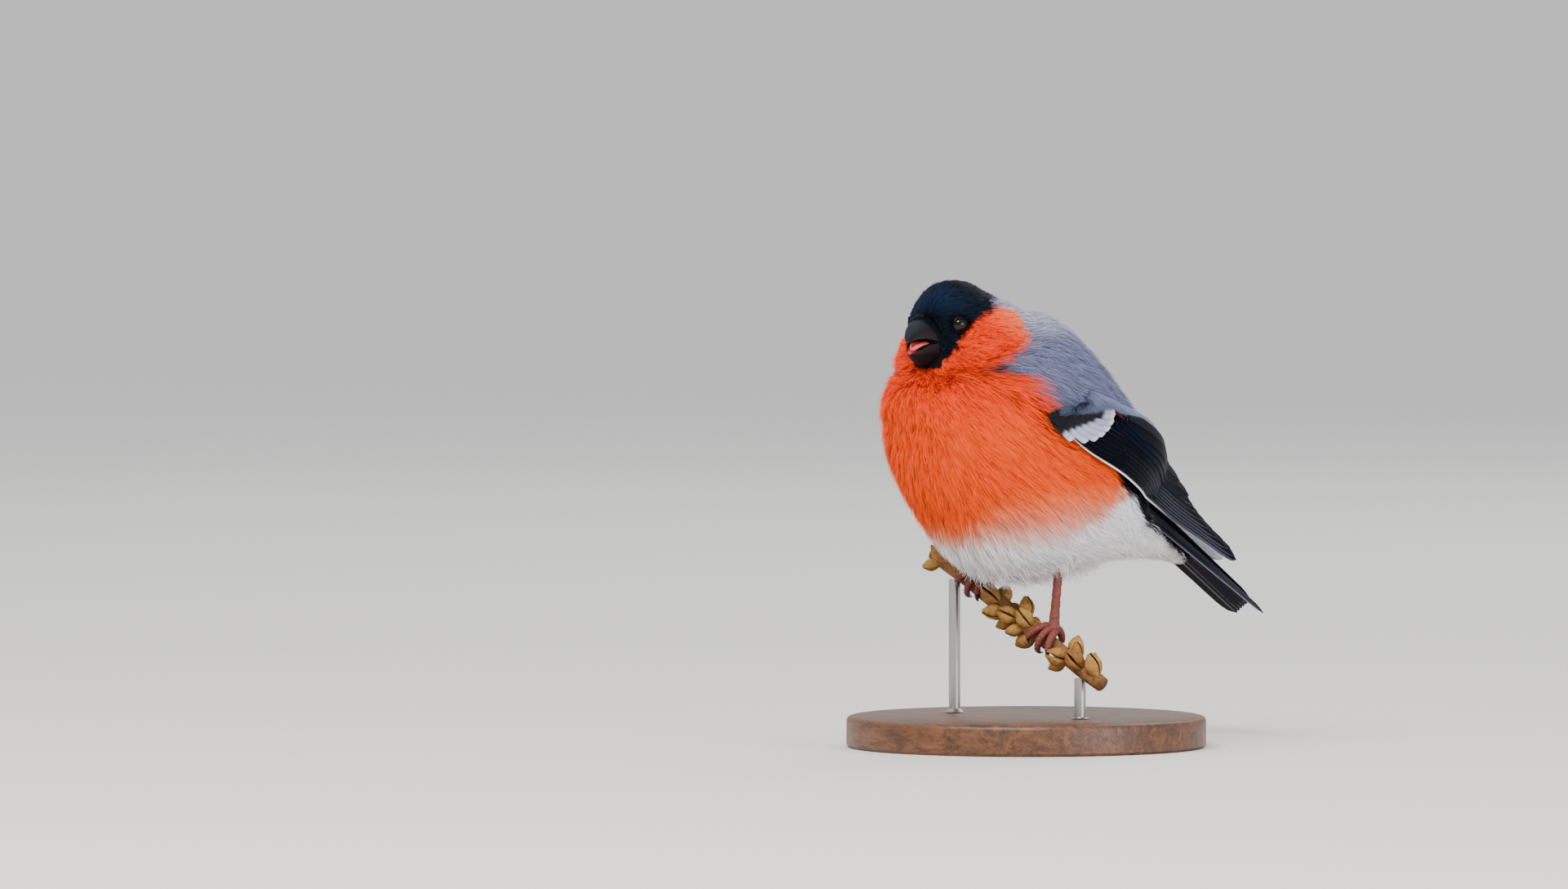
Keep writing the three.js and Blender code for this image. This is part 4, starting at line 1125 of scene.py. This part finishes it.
# Along the coverts' height on the wing, in mm: where their pale part starts and where they end.
BAR_HEIGHT = [0.5, 2.5, 4.5, 7.0, 9.5, 11.5]
BAR_EDGE = [0.088, 0.1, 0.112, 0.13, 0.155, 0.185]
BAR_TIP = [0.12, 0.166, 0.198, 0.222, 0.235, 0.236]
BLACK_WEB = "#06070d"
SHOULDER_TUFTS = 900  # on each side
# Along the wing, from u = 0 at the wrist: how far down from the wing's upper edge the grey tufts hang,
# and how high over the wing their tips stand, in mm.
HANG_U, HANG = [0, 0.08, 0.17, 0.22, 0.32, 0.5, 0.57], [4.4, 3.2, 2.2, 1.3, 2.2, 1.8, 0.6]
STAND_U, STAND = [0, 0.1, 0.25, 0.4, 0.57], [2.7, 2.9, 2.4, 1.6, 1.1]
# Pale keratin: matt, since its barbs scatter light instead of drinking it.
bar_vane = barbed("pale_covert_keratin", 1.3, Roughness=0.65, Specular_IOR_Level=0.2)
shoulder = []
for side, name in ((1, "left"), (-1, "right")):
    feathers = []
    for k in range(COVERTS):
        share = k / (COVERTS - 1)
        d = 0.5 + 11.0 * share
        root_u = 0.015 + 0.07 * share
        tip_u = np.interp(d, BAR_HEIGHT, BAR_TIP)
        pale_from = (np.interp(d, BAR_HEIGHT, BAR_EDGE) - root_u) / (tip_u - root_u)
        s = np.linspace(0, 1, 24)
        pale = mix(tone("#b0b0c6", 24), tone("#868aa4", 24), np.full(24, 0.2 + 0.8 * share * rng.random()))
        pale = mix(pale, tone("#cfcee0"), soft_step(s, 0.8, 1.0))
        turned = soft_step(s, pale_from - 0.08, pale_from + 0.06)
        feathers.append(wing_vane(
            side, (root_u, 0.8 + 6.0 * share), (tip_u, d), 1.5, 1.8, 1.05 + 1.2 * share, blunt=0.88,
            face=mix(tone(BLACK_WEB, 24), pale, turned), under=tone("#77788a"),
            edge=mix(tone(BLACK_WEB, 24), tone("#7d8098"), turned), thick=0.32, ragged=0.02))
    for row in range(LESSER_ROWS):
        for k in range(7):
            d = 0.5 + 1.1 * k + 0.5 * (row % 2)
            u = -0.02 + 0.022 * row
            if d > 3.2 + 1.3 * row:
                continue
            feathers.append(wing_vane(
                side, (u - 0.03, d), (u + 0.046, d + 0.3), 0.8, 0.9, 2.1 - 0.22 * row + 0.1 * k, blunt=0.6,
                face=tone("#05060c", 14), under=tone("#1a1a22"), edge=tone("#0c0e16"), thick=0.3,
                ragged=0.05))
    feather_piece(f"wing_bar_{name}", feathers, bar_vane, dull_vane)
    count = SHOULDER_TUFTS
    u = -0.03 + 0.6 * rng.random(count) ** 1.4
    tall = np.linalg.norm(between(WING_UPPER, u) - between(WING_LOWER, u), axis=1)
    above_edge = np.interp(u, [0.15, 0.3, 0.45], [5.0, 2.2, 0.6]) * rng.random(count)
    over = np.interp(u, HANG_U, HANG) - 0.35 * above_edge
    start, _, out_start = on_wing(side, u - 0.075, tall + above_edge)
    end, _, out_end = on_wing(side, u, tall - over)
    height = np.interp(u, STAND_U, STAND) * (0.85 + 0.2 * rng.random(count))
    rooted, rooted_out = on_skin(start)
    start = rooted + rooted_out * np.minimum(np.linalg.norm(start - rooted, axis=1), 1.2)[:, None]
    end = end + out_end * height[:, None]
    arch = np.interp(u, [0.1, 0.25], [0.5, 0.25])[:, None]
    way = np.stack([start, (start + end) / 2 + (out_start + out_end) * arch, end], 1)
    shades = mix(tone("#5d6682", count), tone("#7a7f9c"), np.clip(u * 2.2, 0, 1))
    shoulder.append(tufts(way, np.stack([out_start, (out_start + out_end) / 2, out_end], 1), patch_of(start),
                          np.full(count, 1.2), np.full(count, 0.2), barbs=13, thick=0.07, colours=shades,
                          loose=1.2, dusk=0.3))
lay_coat("coat_grey", soft_grey, [grey_part, *shoulder])

# Tail. Twelve glossy black feathers in a shallow roof, the middle pair on top and the outer ones a
# little longer; their undersides are dull charcoal with pale shafts.
TAIL_LENGTH = 60.0
TAIL_TIP = np.array([7.0, 73.6, -37.6])
TAIL_FEATHERS = 12
tail_turn, tail_pitch, tail_roll = math.radians(10), math.radians(41), math.radians(-3)
tail_down = np.array([
    math.sin(tail_turn) * math.cos(tail_pitch),
    math.cos(tail_turn) * math.cos(tail_pitch),
    -math.sin(tail_pitch),
])
tail_level = np.array([math.cos(tail_turn), -math.sin(tail_turn), 0])
tail_left = tail_level * math.cos(tail_roll) + np.cross(tail_down, tail_level) * math.sin(tail_roll)
tail_up = np.cross(tail_left, tail_down)
feathers = []
s = np.linspace(0, 1, 34)
for k in range(TAIL_FEATHERS):
    q = 2 * k / (TAIL_FEATHERS - 1) - 1  # from -1 at the right edge to 1 at the left
    order = math.floor(abs(k - (TAIL_FEATHERS - 1) / 2))  # from 0 in the middle to 5 at the edges
    level = 0.9 - 0.3 * order - (0.17 if k == 5 else 0)
    reach = (TAIL_LENGTH + 1.6 * abs(q) - 1.2) * s - TAIL_LENGTH
    fan = 3.0 + 3.7 * s
    roof = 1.8 - 1.1 * s
    rise = level - q * q * roof
    middle = TAIL_TIP + reach[:, None] * tail_down + (q * fan)[:, None] * tail_left + rise[:, None] * tail_up
    side = 1 if q > 0 else -1
    slope = np.arctan((1.65 + 2 * abs(q) * roof) / fan)[:, None]
    down = tail_left * side * np.cos(slope) - tail_up * np.sin(slope)
    out = tail_up * np.cos(slope) + tail_left * side * np.sin(slope)
    edge = tone("#8d8894") if order == 5 else tone("#12152a")
    feathers.append(vane(middle + down * 0.9, down, out, 2.1, 3.6, tip=0.9, thick=0.34,
                         face=tone("#05081a", 34), under=tone("#27282f"), edge=edge,
                         camber=0.04, ragged=0.015))
piece = feather_piece("tail_feathers", feathers, glossy_vane, dull_vane)
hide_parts("tail")

# Bill. Two stubby halves of dark horn, open, with a blunt ridge, a cutting edge and a wet pink lining.
UPPER_BILL = [
    [7, -1.7, 4.6, 5.1], [9, -1.3, 4.6, 5.3], [11.5, -0.4, 4.2, 5.1], [13.5, 0.35, 3.4, 4.5],
    [15.2, 0.6, 2.3, 3.4], [16.3, 0.4, 1.3, 2.2], [16.9, 0.1, 0.5, 1.0],
]
LOWER_BILL = [
    [7, -2.3, 4.5, -7.6], [9, -2.0, 4.5, -7.6], [11.5, -1.5, 4, -7.2], [13.5, -1.6, 3.2, -6.4],
    [15.2, -2.3, 2.2, -5.3], [16.2, -2.7, 1.2, -4.2], [16.7, -2.8, 0.5, -3.4],
]
# Horn: a hard dull-glossy sheath with growth lines across it, paler where it wears thin at the edge.
bill_horn, shader = new_finish("bill_horn", Roughness=0.45, Specular_IOR_Level=0.12)
dye = add_node(shader, "ShaderNodeAttribute", attribute_name="plumage")
growth = add_node(shader, "ShaderNodeTexNoise", {"Scale": 420.0, "Detail": 5.0, "Roughness": 0.6})
span = add_node(shader, "ShaderNodeMapRange", {"Value": growth.outputs["Fac"], "To Min": 0.7, "To Max": 1.3})
worn = add_node(shader, "ShaderNodeVectorMath",
                {0: dye.outputs["Color"], "Scale": span.outputs["Result"]}, operation="SCALE")
wire(shader, "Base Color", worn.outputs["Vector"])
bump = add_node(shader, "ShaderNodeBump",
                {"Height": growth.outputs["Fac"], "Strength": 0.6, "Distance": 0.00015})
wire(shader, "Normal", bump.outputs["Normal"])
for name, rows, outer, ridge_highlight_tone in (("bill_upper", UPPER_BILL, "#090b0f", "#1c222c"),
                                      ("bill_lower", LOWER_BILL, "#0a080b", "#15111a")):
    rings, colours = [], []
    for forward, edge, wide, ridge in between(rows, np.linspace(0, 1, 34)):
        turn = np.linspace(0, math.pi, 30)
        arch = in_head(forward, wide * np.cos(turn), edge + (ridge - edge) * np.sin(turn) ** 0.92)
        across = np.linspace(-0.94, 0.94, 14)
        hollow = 0.3 * (ridge - edge) * (1 - across ** 2) ** 0.6
        face = in_head(forward, across * wide, edge + hollow)
        rings.append(np.concatenate([arch, face]))
        worn_edge = soft_step(np.abs(np.cos(turn)), 0.9, 1.0)
        # Painted highlight: the ridge is paler towards the tip, where light catches the horn.
        ridge_highlight = soft_step(np.sin(turn), 0.45, 1.0) * soft_step(forward, 9.5, 12.5)
        shown = mix(mix(tone(outer, 30), tone(ridge_highlight_tone), ridge_highlight), tone("#2c2326"), 0.5 * worn_edge)
        lining = mix(tone("#f0545a", 14), tone("#3c1c1f", 14), soft_step(np.abs(across), 0.8, 0.94))
        colours.append(np.concatenate([shown, lining]))
    points, faces = loft(np.array(rings))
    ends = np.stack([colours[0].mean(0), tone(outer)])
    mesh = triangle_mesh(name, points, faces, bill_horn, np.concatenate([*colours, ends]))
    mesh.set_sharp_from_angle(angle=math.radians(60))
    piece = add_piece(name + "_horn", mesh)
    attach(piece, "root")
    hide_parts(name)

# Tongue. A thick pink wedge with a shallow groove, glazed to look wet, laid on the lower bill; the
# lining behind it closes the mouth.
TONGUE = [
    [9.3, -2.0, 1.6, -1.3], [11.3, -1.9, 2.3, -0.8], [13.2, -1.9, 2.1, -0.6],
    [14.8, -2.3, 1.4, -0.9], [15.6, -2.5, 0.6, -1.5],
]
# Glazed flesh: soft and wet, so it takes small sharp highlights over a pink that light sinks into.
wet_flesh, shader = new_finish("glazed_pink_flesh", Roughness=0.22, Subsurface_Weight=0.25,
                               Subsurface_Radius=(0.001, 0.0004, 0.0003), Coat_Weight=0.15)
pores = add_node(shader, "ShaderNodeTexNoise", {"Scale": 1300.0, "Detail": 2.0})
blush = add_node(shader, "ShaderNodeValToRGB", {"Fac": pores.outputs["Fac"]}, ("#c23c44", "#e87478"))
wire(shader, "Base Color", blush.outputs["Color"])
# Rows of the lining: forward along the bill, half width, half height.
LINING = [(7.4, 4.0, 0.5), (9.2, 3.9, 0.6), (10.4, 3.2, 0.75), (10.9, 1.4, 0.4)]
LINING_UP = -2.1
turn = full_turn(24)
rings = []
for forward, under, wide, over in between(TONGUE, np.linspace(0, 1, 24)):
    groove = 0.25 * (over - under) * np.exp(-(np.cos(turn) * 4) ** 2) * (np.sin(turn) > 0)
    up = (over + under) / 2 + (over - under) / 2 * np.sin(turn) - groove
    rings.append(in_head(forward, wide * np.cos(turn), up))
lining_rings = [in_head(forward, wide * np.cos(turn), LINING_UP + tall * np.sin(turn))
                for forward, wide, tall in LINING]
points, faces = join([loft(np.array(rings)), loft(np.array(lining_rings))])
piece = add_piece("tongue_flesh", triangle_mesh("tongue", points, faces, wet_flesh))
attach(piece, "root")
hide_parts("tongue")

# Eyes. Glass balls of dark brown, let into the head, each behind a round lid of bare black skin that
# is beaded along its edge.
EYE_FACING = math.radians(30)  # how far the lid turns ahead from straight aside
LID_BEAD = 0.24  # radius of its rolled edge
LID_BEADS = 20
# Glass: a clear hard gloss over a brown iris so dark that only its rim shows.
eye_glass, shader = new_finish("dark_brown_glass", Roughness=0.04, Specular_IOR_Level=0.3)
iris = add_node(shader, "ShaderNodeTexNoise", {"Scale": 2600.0, "Detail": 4.0})
brown = add_node(shader, "ShaderNodeValToRGB", {"Fac": iris.outputs["Fac"]}, ("#040202", "#0f0805"))
wire(shader, "Base Color", brown.outputs["Color"])
# Bare skin of the lid: black, leathery, with a dull shine.
lid_skin, shader = new_finish("black_lid_skin", Roughness=0.75, Specular_IOR_Level=0.05)
crease = add_node(shader, "ShaderNodeTexVoronoi", {"Scale": 2200.0})
black = add_node(shader, "ShaderNodeValToRGB", {"Fac": crease.outputs["Distance"]}, ("#0d0d11", "#050507"))
wire(shader, "Base Color", black.outputs["Color"])
for side, name in ((1, "left"), (-1, "right")):
    rings = []
    for lean in np.linspace(0.04, math.pi - 0.04, 40):
        turn = full_turn(48)
        ring = EYE_RADIUS * math.sin(lean)
        rings.append(in_head(EYE_FORWARD + ring * np.cos(turn),
                             side * (EYE_ASIDE + EYE_RADIUS * math.cos(lean)), EYE_UP + ring * np.sin(turn)))
    piece = add_piece(f"eye_{name}_glass", triangle_mesh("eye", *loft(np.array(rings)), eye_glass))
    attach(piece, "root")
    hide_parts(f"eye_{name}")
    rings = []
    for around_eye in full_turn(60):
        bead = LID_BEAD + 0.04 * math.cos(LID_BEADS * around_eye)
        major = LID_RADIUS - 0.1 - 0.22 * abs(math.sin(around_eye)) ** 3
        out = math.sqrt(EYE_RADIUS ** 2 - major ** 2) + 0.08
        turn = full_turn(12)
        ring = (major + bead * np.cos(turn)) * math.cos(around_eye)
        out = out + bead * 0.9 * np.sin(turn)
        rings.append(in_head(EYE_FORWARD + ring * math.cos(EYE_FACING) + out * math.sin(EYE_FACING),
                             side * (EYE_ASIDE + out * math.cos(EYE_FACING) - ring * math.sin(EYE_FACING)),
                             EYE_UP + (major + bead * np.cos(turn)) * math.sin(around_eye)))
    rings.append(rings[0])
    piece = add_piece(f"eyelid_{name}", triangle_mesh("eyelid", *loft(np.array(rings)), lid_skin))
    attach(piece, "root")

# Perch. A short cut of dry seed stem: ribbed bark, set all round with papery capsules that have split
# into two valves.
STEM_MIDDLE = np.array([0.5, 5.2, -39.0])
STEM_RADIUS = 2.3
STEM_LENGTH = 65.0
STEM_TAPER = 0.25
CAPSULES = 64
CAPSULE_LENGTH = 6.2
CAPSULE_STEP = 0.96  # from one to the next along the stem, each turned by the golden angle
CAPSULE_DROP = 3.2  # how far its tip points down the stem
HUSK = 0.28  # thickness of a valve
# How near to the middle of a foot and of a rod no capsule grows.
FOOT_CLEAR, ROD_CLEAR = 5.9, 4.4
FOOT_PLACES = {"left": 11.5, "right": -16.0}
ROD_PLACES = {"high": -25.0, "low": 24.0}
stem_axis = unit(np.array([0.84, 0.22, -0.49]))
stem_up = unit(np.array([0.0, 0.0, 1.0]) - stem_axis * stem_axis[2])
stem_front = np.cross(stem_axis, stem_up)


def on_stem(along, turn, out):
    """Places round the stem: along it, turned from its top to the bird's front, and out."""
    along, turn, out = np.broadcast_arrays(along, turn, out)
    return (STEM_MIDDLE + along[..., None] * stem_axis
            + (out * np.cos(turn))[..., None] * stem_up + (out * np.sin(turn))[..., None] * stem_front)


def rod_rings(path, radius, around):
    """Rings round a path; radius has one row for each place, or one number for each place and turn."""
    tangent = unit(np.gradient(path, axis=0))
    aside = unit(np.cross(tangent, np.array([0.31, 0.87, 0.39])))
    other = np.cross(tangent, aside)
    turn = full_turn(around)
    radius = np.broadcast_to(np.asarray(radius, float).reshape(len(path), -1), (len(path), around))
    way = aside[:, None] * np.cos(turn)[None, :, None] + other[:, None] * np.sin(turn)[None, :, None]
    return path[:, None] + way * radius[..., None]


# Dry bark and husk: dull, fibrous along the stem, with darker specks and weathered pale ribs.
dry_stem, shader = new_finish("dry_seed_stem", Roughness=0.82, Specular_IOR_Level=0.25)
dye = add_node(shader, "ShaderNodeAttribute", attribute_name="plumage")
where = add_node(shader, "ShaderNodeTexCoord").outputs["Object"]
fibre = add_node(shader, "ShaderNodeTexNoise",
                 {"Vector": where, "Scale": 520.0, "Detail": 6.0, "Roughness": 0.65})
speck = add_node(shader, "ShaderNodeTexNoise", {"Vector": where, "Scale": 1500.0, "Detail": 1.0})
span = add_node(shader, "ShaderNodeMapRange", {"Value": fibre.outputs["Fac"], "From Min": 0.3,
                                               "From Max": 0.7, "To Min": 0.62, "To Max": 1.28})
dots = add_node(shader, "ShaderNodeMapRange", {"Value": speck.outputs["Fac"], "From Min": 0.62,
                                               "From Max": 0.7, "To Min": 1.0, "To Max": 0.5})
both = add_node(shader, "ShaderNodeMath", {0: span.outputs["Result"], 1: dots.outputs["Result"]},
                operation="MULTIPLY")
aged = add_node(shader, "ShaderNodeVectorMath", {0: dye.outputs["Color"], "Scale": both.outputs[0]},
                operation="SCALE")
wire(shader, "Base Color", aged.outputs["Vector"])
bump = add_node(shader, "ShaderNodeBump",
                {"Height": fibre.outputs["Fac"], "Strength": 0.6, "Distance": 0.0002})
wire(shader, "Normal", bump.outputs["Normal"])
s = np.linspace(0, 1, 110)
turn = full_turn(40)
ribs = 0.09 * np.abs(np.sin(3.5 * turn[None] + 0.6 * np.sin(9 * s[:, None]))) - 0.05
radius = STEM_RADIUS - STEM_TAPER * s + 0.12 * np.sin(23 * s)
points, faces = loft(rod_rings(on_stem((s - 0.5) * STEM_LENGTH, 0.0, 0.0), radius[:, None] + ribs, 40))
bark = mix(tone("#8a6038", len(points)), tone("#5d3d22"), rng.random(len(points)) * 0.6)
perch_parts = [(points, faces, bark)]
for k in range(CAPSULES):
    along = -STEM_LENGTH / 2 + 2.6 + k * CAPSULE_STEP
    turn = k * math.pi * (3 - math.sqrt(5))
    size = 0.9 + 0.14 * math.sin(5 * k)
    near_foot = any(abs(along - place - 1.4) < FOOT_CLEAR for place in FOOT_PLACES.values())
    near_rod = any(abs(along - place - 1.4) < ROD_CLEAR for place in ROD_PLACES.values())
    tip = on_stem(along - CAPSULE_DROP, turn, STEM_RADIUS + 4.6)[None]
    clear = np.allclose(drape(tip, 2.5), tip)
    if near_foot or (near_rod and math.cos(turn) < 0.2) or not clear:
        continue
    root = on_stem(along, turn, STEM_RADIUS - 0.9)
    reach = unit(on_stem(along - CAPSULE_DROP, turn, STEM_RADIUS + 3.2) - root)
    first = unit(np.cross(reach, stem_axis + 0.3 * stem_up * math.sin(3 * k)))
    second = np.cross(reach, first)
    hue = mix(tone("#b98b48", 1), tone("#8f6230", 1), np.array([rng.random()]))[0]
    for valve in (1, -1):
        rows = np.linspace(0, 1, 9)
        theta = np.radians(np.linspace(-84, 84, 8))
        wide = size * between([[1], [1.95], [2.4], [1.8], [0.5]], rows)[:, 0]
        gape = 0.55 * size * np.clip(rows - 0.35, 0, 1) ** 1.5
        middle = root + rows[:, None] * CAPSULE_LENGTH * size * reach + (valve * gape)[:, None] * first
        bulge = valve * np.cos(theta)[None, :, None] * first + 0.86 * np.sin(theta)[None, :, None] * second
        outer = middle[:, None] + bulge * wide[:, None, None]
        inner = middle[:, None] + bulge * np.maximum(wide - HUSK, 0.1)[:, None, None]
        points, faces = shell(outer, inner)
        husk_shade = hue * (1.1 - 0.35 * np.repeat(rows, len(theta)))[:, None]
        perch_parts.append((points, faces, np.concatenate([husk_shade, husk_shade * 0.35])))
points, faces, colours = join(perch_parts)
piece = add_piece("perch_stem", triangle_mesh("perch", points, faces, dry_stem, colours))
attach(piece, "root")
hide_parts("perch")

# Legs. A bare shank, a ball of a foot and four toes closed round the stem, cast in resin: red-brown
# skin in overlapping scutes, and claws of dark horn.
# Turn at root and tip, shift along the stem at root and tip, radius at root, turn of the claw.
TOES = [
    (12, 96, -1.5, -3.6, 1.05, 46), (12, 122, 0, 0.2, 1.1, 50),
    (12, 92, 1.5, 3.8, 1.05, 44), (-12, -82, 0.2, 1.4, 1.15, -66),
]
TOUCH_GAP = 0.3
SHANK_RADIUS, KNUCKLE = 1.15, 0.45  # and how much thicker it is at both ends
FOOT_RADIUS = 1.75
TOE_END, CLAW_END = 0.8, 0.1  # radius at their tips
CLAW_ROOT = 0.75
# Leg skin: horny scales with a dull shine, darker in the furrows between them.
scaled_skin, shader = new_finish("scaled_leg_skin", Roughness=0.48, Specular_IOR_Level=0.4)
dye = add_node(shader, "ShaderNodeAttribute", attribute_name="plumage")
cells = add_node(shader, "ShaderNodeTexVoronoi", {"Scale": 1500.0})
span = add_node(shader, "ShaderNodeMapRange",
                {"Value": cells.outputs["Distance"], "From Max": 0.7, "To Min": 1.15, "To Max": 0.7})
scaly = add_node(shader, "ShaderNodeVectorMath",
                 {0: dye.outputs["Color"], "Scale": span.outputs["Result"]}, operation="SCALE")
wire(shader, "Base Color", scaly.outputs["Vector"])
bump = add_node(shader, "ShaderNodeBump",
                {"Height": cells.outputs["Distance"], "Strength": 0.4, "Distance": 0.0001}, invert=True)
wire(shader, "Normal", bump.outputs["Normal"])
# Horn of the claws: dark, hard and smooth, with a paler grain.
claw_horn, shader = new_finish("claw_horn", Roughness=0.3)
grain = add_node(shader, "ShaderNodeTexNoise", {"Scale": 800.0, "Detail": 3.0})
dark = add_node(shader, "ShaderNodeValToRGB", {"Fac": grain.outputs["Fac"]}, ("#1b1512", "#43352d"))
wire(shader, "Base Color", dark.outputs["Color"])


def scutes(s, count, depth):
    """The step of overlapping plates along a leg or toe."""
    return depth * ((s * count) % 1.0 - 0.5)


for name, place in FOOT_PLACES.items():
    pad = on_stem(place, 0.0, STEM_RADIUS + 1.7)
    s = np.linspace(0, 1, 90)
    top = HIPS[name] + 0.3 * (HIPS[name] - pad)
    path = top + (pad - top) * s[:, None]
    turn = full_turn(20)
    radius = SHANK_RADIUS + KNUCKLE * (2 * s - 1) ** 4 + scutes(s, 9, 0.16)
    parts = [loft(rod_rings(path, radius, 20))]
    spoke = np.cos(turn)[:, None] * stem_up + np.sin(turn)[:, None] * stem_front
    lean = np.linspace(0.05, math.pi - 0.05, 16)
    ball = [pad + FOOT_RADIUS * (math.cos(a) * stem_axis + math.sin(a) * spoke) for a in lean]
    parts.append(loft(np.array(ball)))
    for k, (start, end, shift, shift_end, thick, claw_turn) in enumerate(TOES):
        s = np.linspace(0, 1, 56)
        radius = thick + (TOE_END - thick) * s
        angle = np.radians(start + (end - start) * s)
        path = on_stem(place + shift + (shift_end - shift) * s, angle, STEM_RADIUS + 2 * TOUCH_GAP + radius)
        radius = radius * (1 - 0.25 * (s > 0.985)) + scutes(s, 8, 0.14)
        parts.append(loft(rod_rings(path, radius, 16)))
        s = np.linspace(0, 1, 24)
        radius = CLAW_ROOT + (CLAW_END - CLAW_ROOT) * s ** 1.2
        first = end + math.copysign(3.0, claw_turn)
        angle = np.radians(first + claw_turn * s)
        out = STEM_RADIUS + 2 * TOUCH_GAP + CLAW_ROOT * (1 - s) + 0.16 * s
        mesh = triangle_mesh("claw", *loft(rod_rings(on_stem(place + shift_end, angle, out), radius, 14)),
                             claw_horn)
        piece = add_piece(f"claw_horn_{name}_{k + 1}", mesh)
        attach(piece, "root")
        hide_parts(f"claw_{name}_{k + 1}")
    points, faces = join(parts)
    colours = mix(tone("#8f4238", len(points)), tone("#54241e", len(points)), rng.random(len(points)) * 0.7)
    piece = add_piece(f"leg_skin_{name}", triangle_mesh("leg", points, faces, scaled_skin, colours))
    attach(piece, "root")
    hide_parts(f"leg_{name}")

# Stand. A turned walnut base, oiled, with two steel rods let into it that end just under the stem.
BASE_ROWS = [(0, 45.2), (0.8, 46), (6.6, 46), (7.3, 45.85), (7.75, 45.45), (8, 44.6)]
BASE_THICKNESS = 8.0
ROD_RADIUS, ROD_COLLAR = 1.5, 0.9  # and how much wider it is at its foot
# Oiled walnut: brown, with darker growth rings cut through lengthwise and short fine pores.
walnut, shader = new_finish("oiled_walnut", Roughness=0.42)
where = add_node(shader, "ShaderNodeTexCoord")
stretch = add_node(shader, "ShaderNodeMapping",
                   {"Vector": where.outputs["Object"], "Scale": (12.0, 70.0, 70.0)}).outputs["Vector"]
growth = add_node(shader, "ShaderNodeTexNoise",
                  {"Vector": stretch, "Scale": 4.5, "Detail": 6.0, "Distortion": 1.2})
pores = add_node(shader, "ShaderNodeTexNoise", {"Vector": stretch, "Scale": 22.0, "Detail": 3.0})
grain = add_node(shader, "ShaderNodeValToRGB", {"Fac": growth.outputs["Fac"]}, ("#4a2e1c", "#74492c"))
grain.color_ramp.elements[0].position = 0.35
grain.color_ramp.elements[1].position = 0.68
fleck = add_node(shader, "ShaderNodeMapRange", {"Value": pores.outputs["Fac"], "From Min": 0.35,
                                                "From Max": 0.5, "To Min": 0.6, "To Max": 1.0})
oiled = add_node(shader, "ShaderNodeVectorMath",
                 {0: grain.outputs["Color"], "Scale": fleck.outputs["Result"]}, operation="SCALE")
wire(shader, "Base Color", oiled.outputs["Vector"])
bump = add_node(shader, "ShaderNodeBump",
                {"Height": pores.outputs["Fac"], "Strength": 0.2, "Distance": 0.0002})
wire(shader, "Normal", bump.outputs["Normal"])
turn = full_turn(160)
rings = np.array([np.stack([r * np.cos(turn), r * np.sin(turn), z + 0 * turn], 1) for z, r in BASE_ROWS])
mesh = triangle_mesh("stand_base", *loft(rings - BIRD_PLACE), walnut)
mesh.set_sharp_from_angle(angle=math.radians(35))
piece = add_piece("stand_base_turned", mesh)
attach(piece, "root")
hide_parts("stand_base")
# Drawn steel: bright, with the fine lines and soft streak of a satin finish.
steel, shader = new_finish("satin_steel", Roughness=0.3, Metallic=1.0)
lines = add_node(shader, "ShaderNodeTexNoise", {"Scale": 900.0, "Detail": 2.0})
satin = add_node(shader, "ShaderNodeValToRGB", {"Fac": lines.outputs["Fac"]}, ("#8f8d89", "#c6c4bf"))
wire(shader, "Base Color", satin.outputs["Color"])
for name, place in ROD_PLACES.items():
    share = place / STEM_LENGTH + 0.5
    under_stem = STEM_RADIUS - STEM_TAPER * share + 0.12 * math.sin(23 * share) + TOUCH_GAP
    top = on_stem(place, 0.0, 0.0)
    s = np.linspace(0, 1, 40)
    foot = BASE_THICKNESS + TOUCH_GAP - BIRD_PLACE[2]
    height = foot + (top[2] - under_stem / stem_up[2] - foot) * s
    path = np.stack([np.full(40, top[0]), np.full(40, top[1]), height], 1)
    radius = ROD_RADIUS + ROD_COLLAR * (s < 0.02)
    mesh = triangle_mesh("stand_rod", *loft(rod_rings(path, radius, 32)), steel)
    mesh.set_sharp_from_angle(angle=math.radians(40))
    piece = add_piece(f"stand_rod_{name}_steel", mesh)
    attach(piece, "root")
    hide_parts(f"stand_rod_{name}")
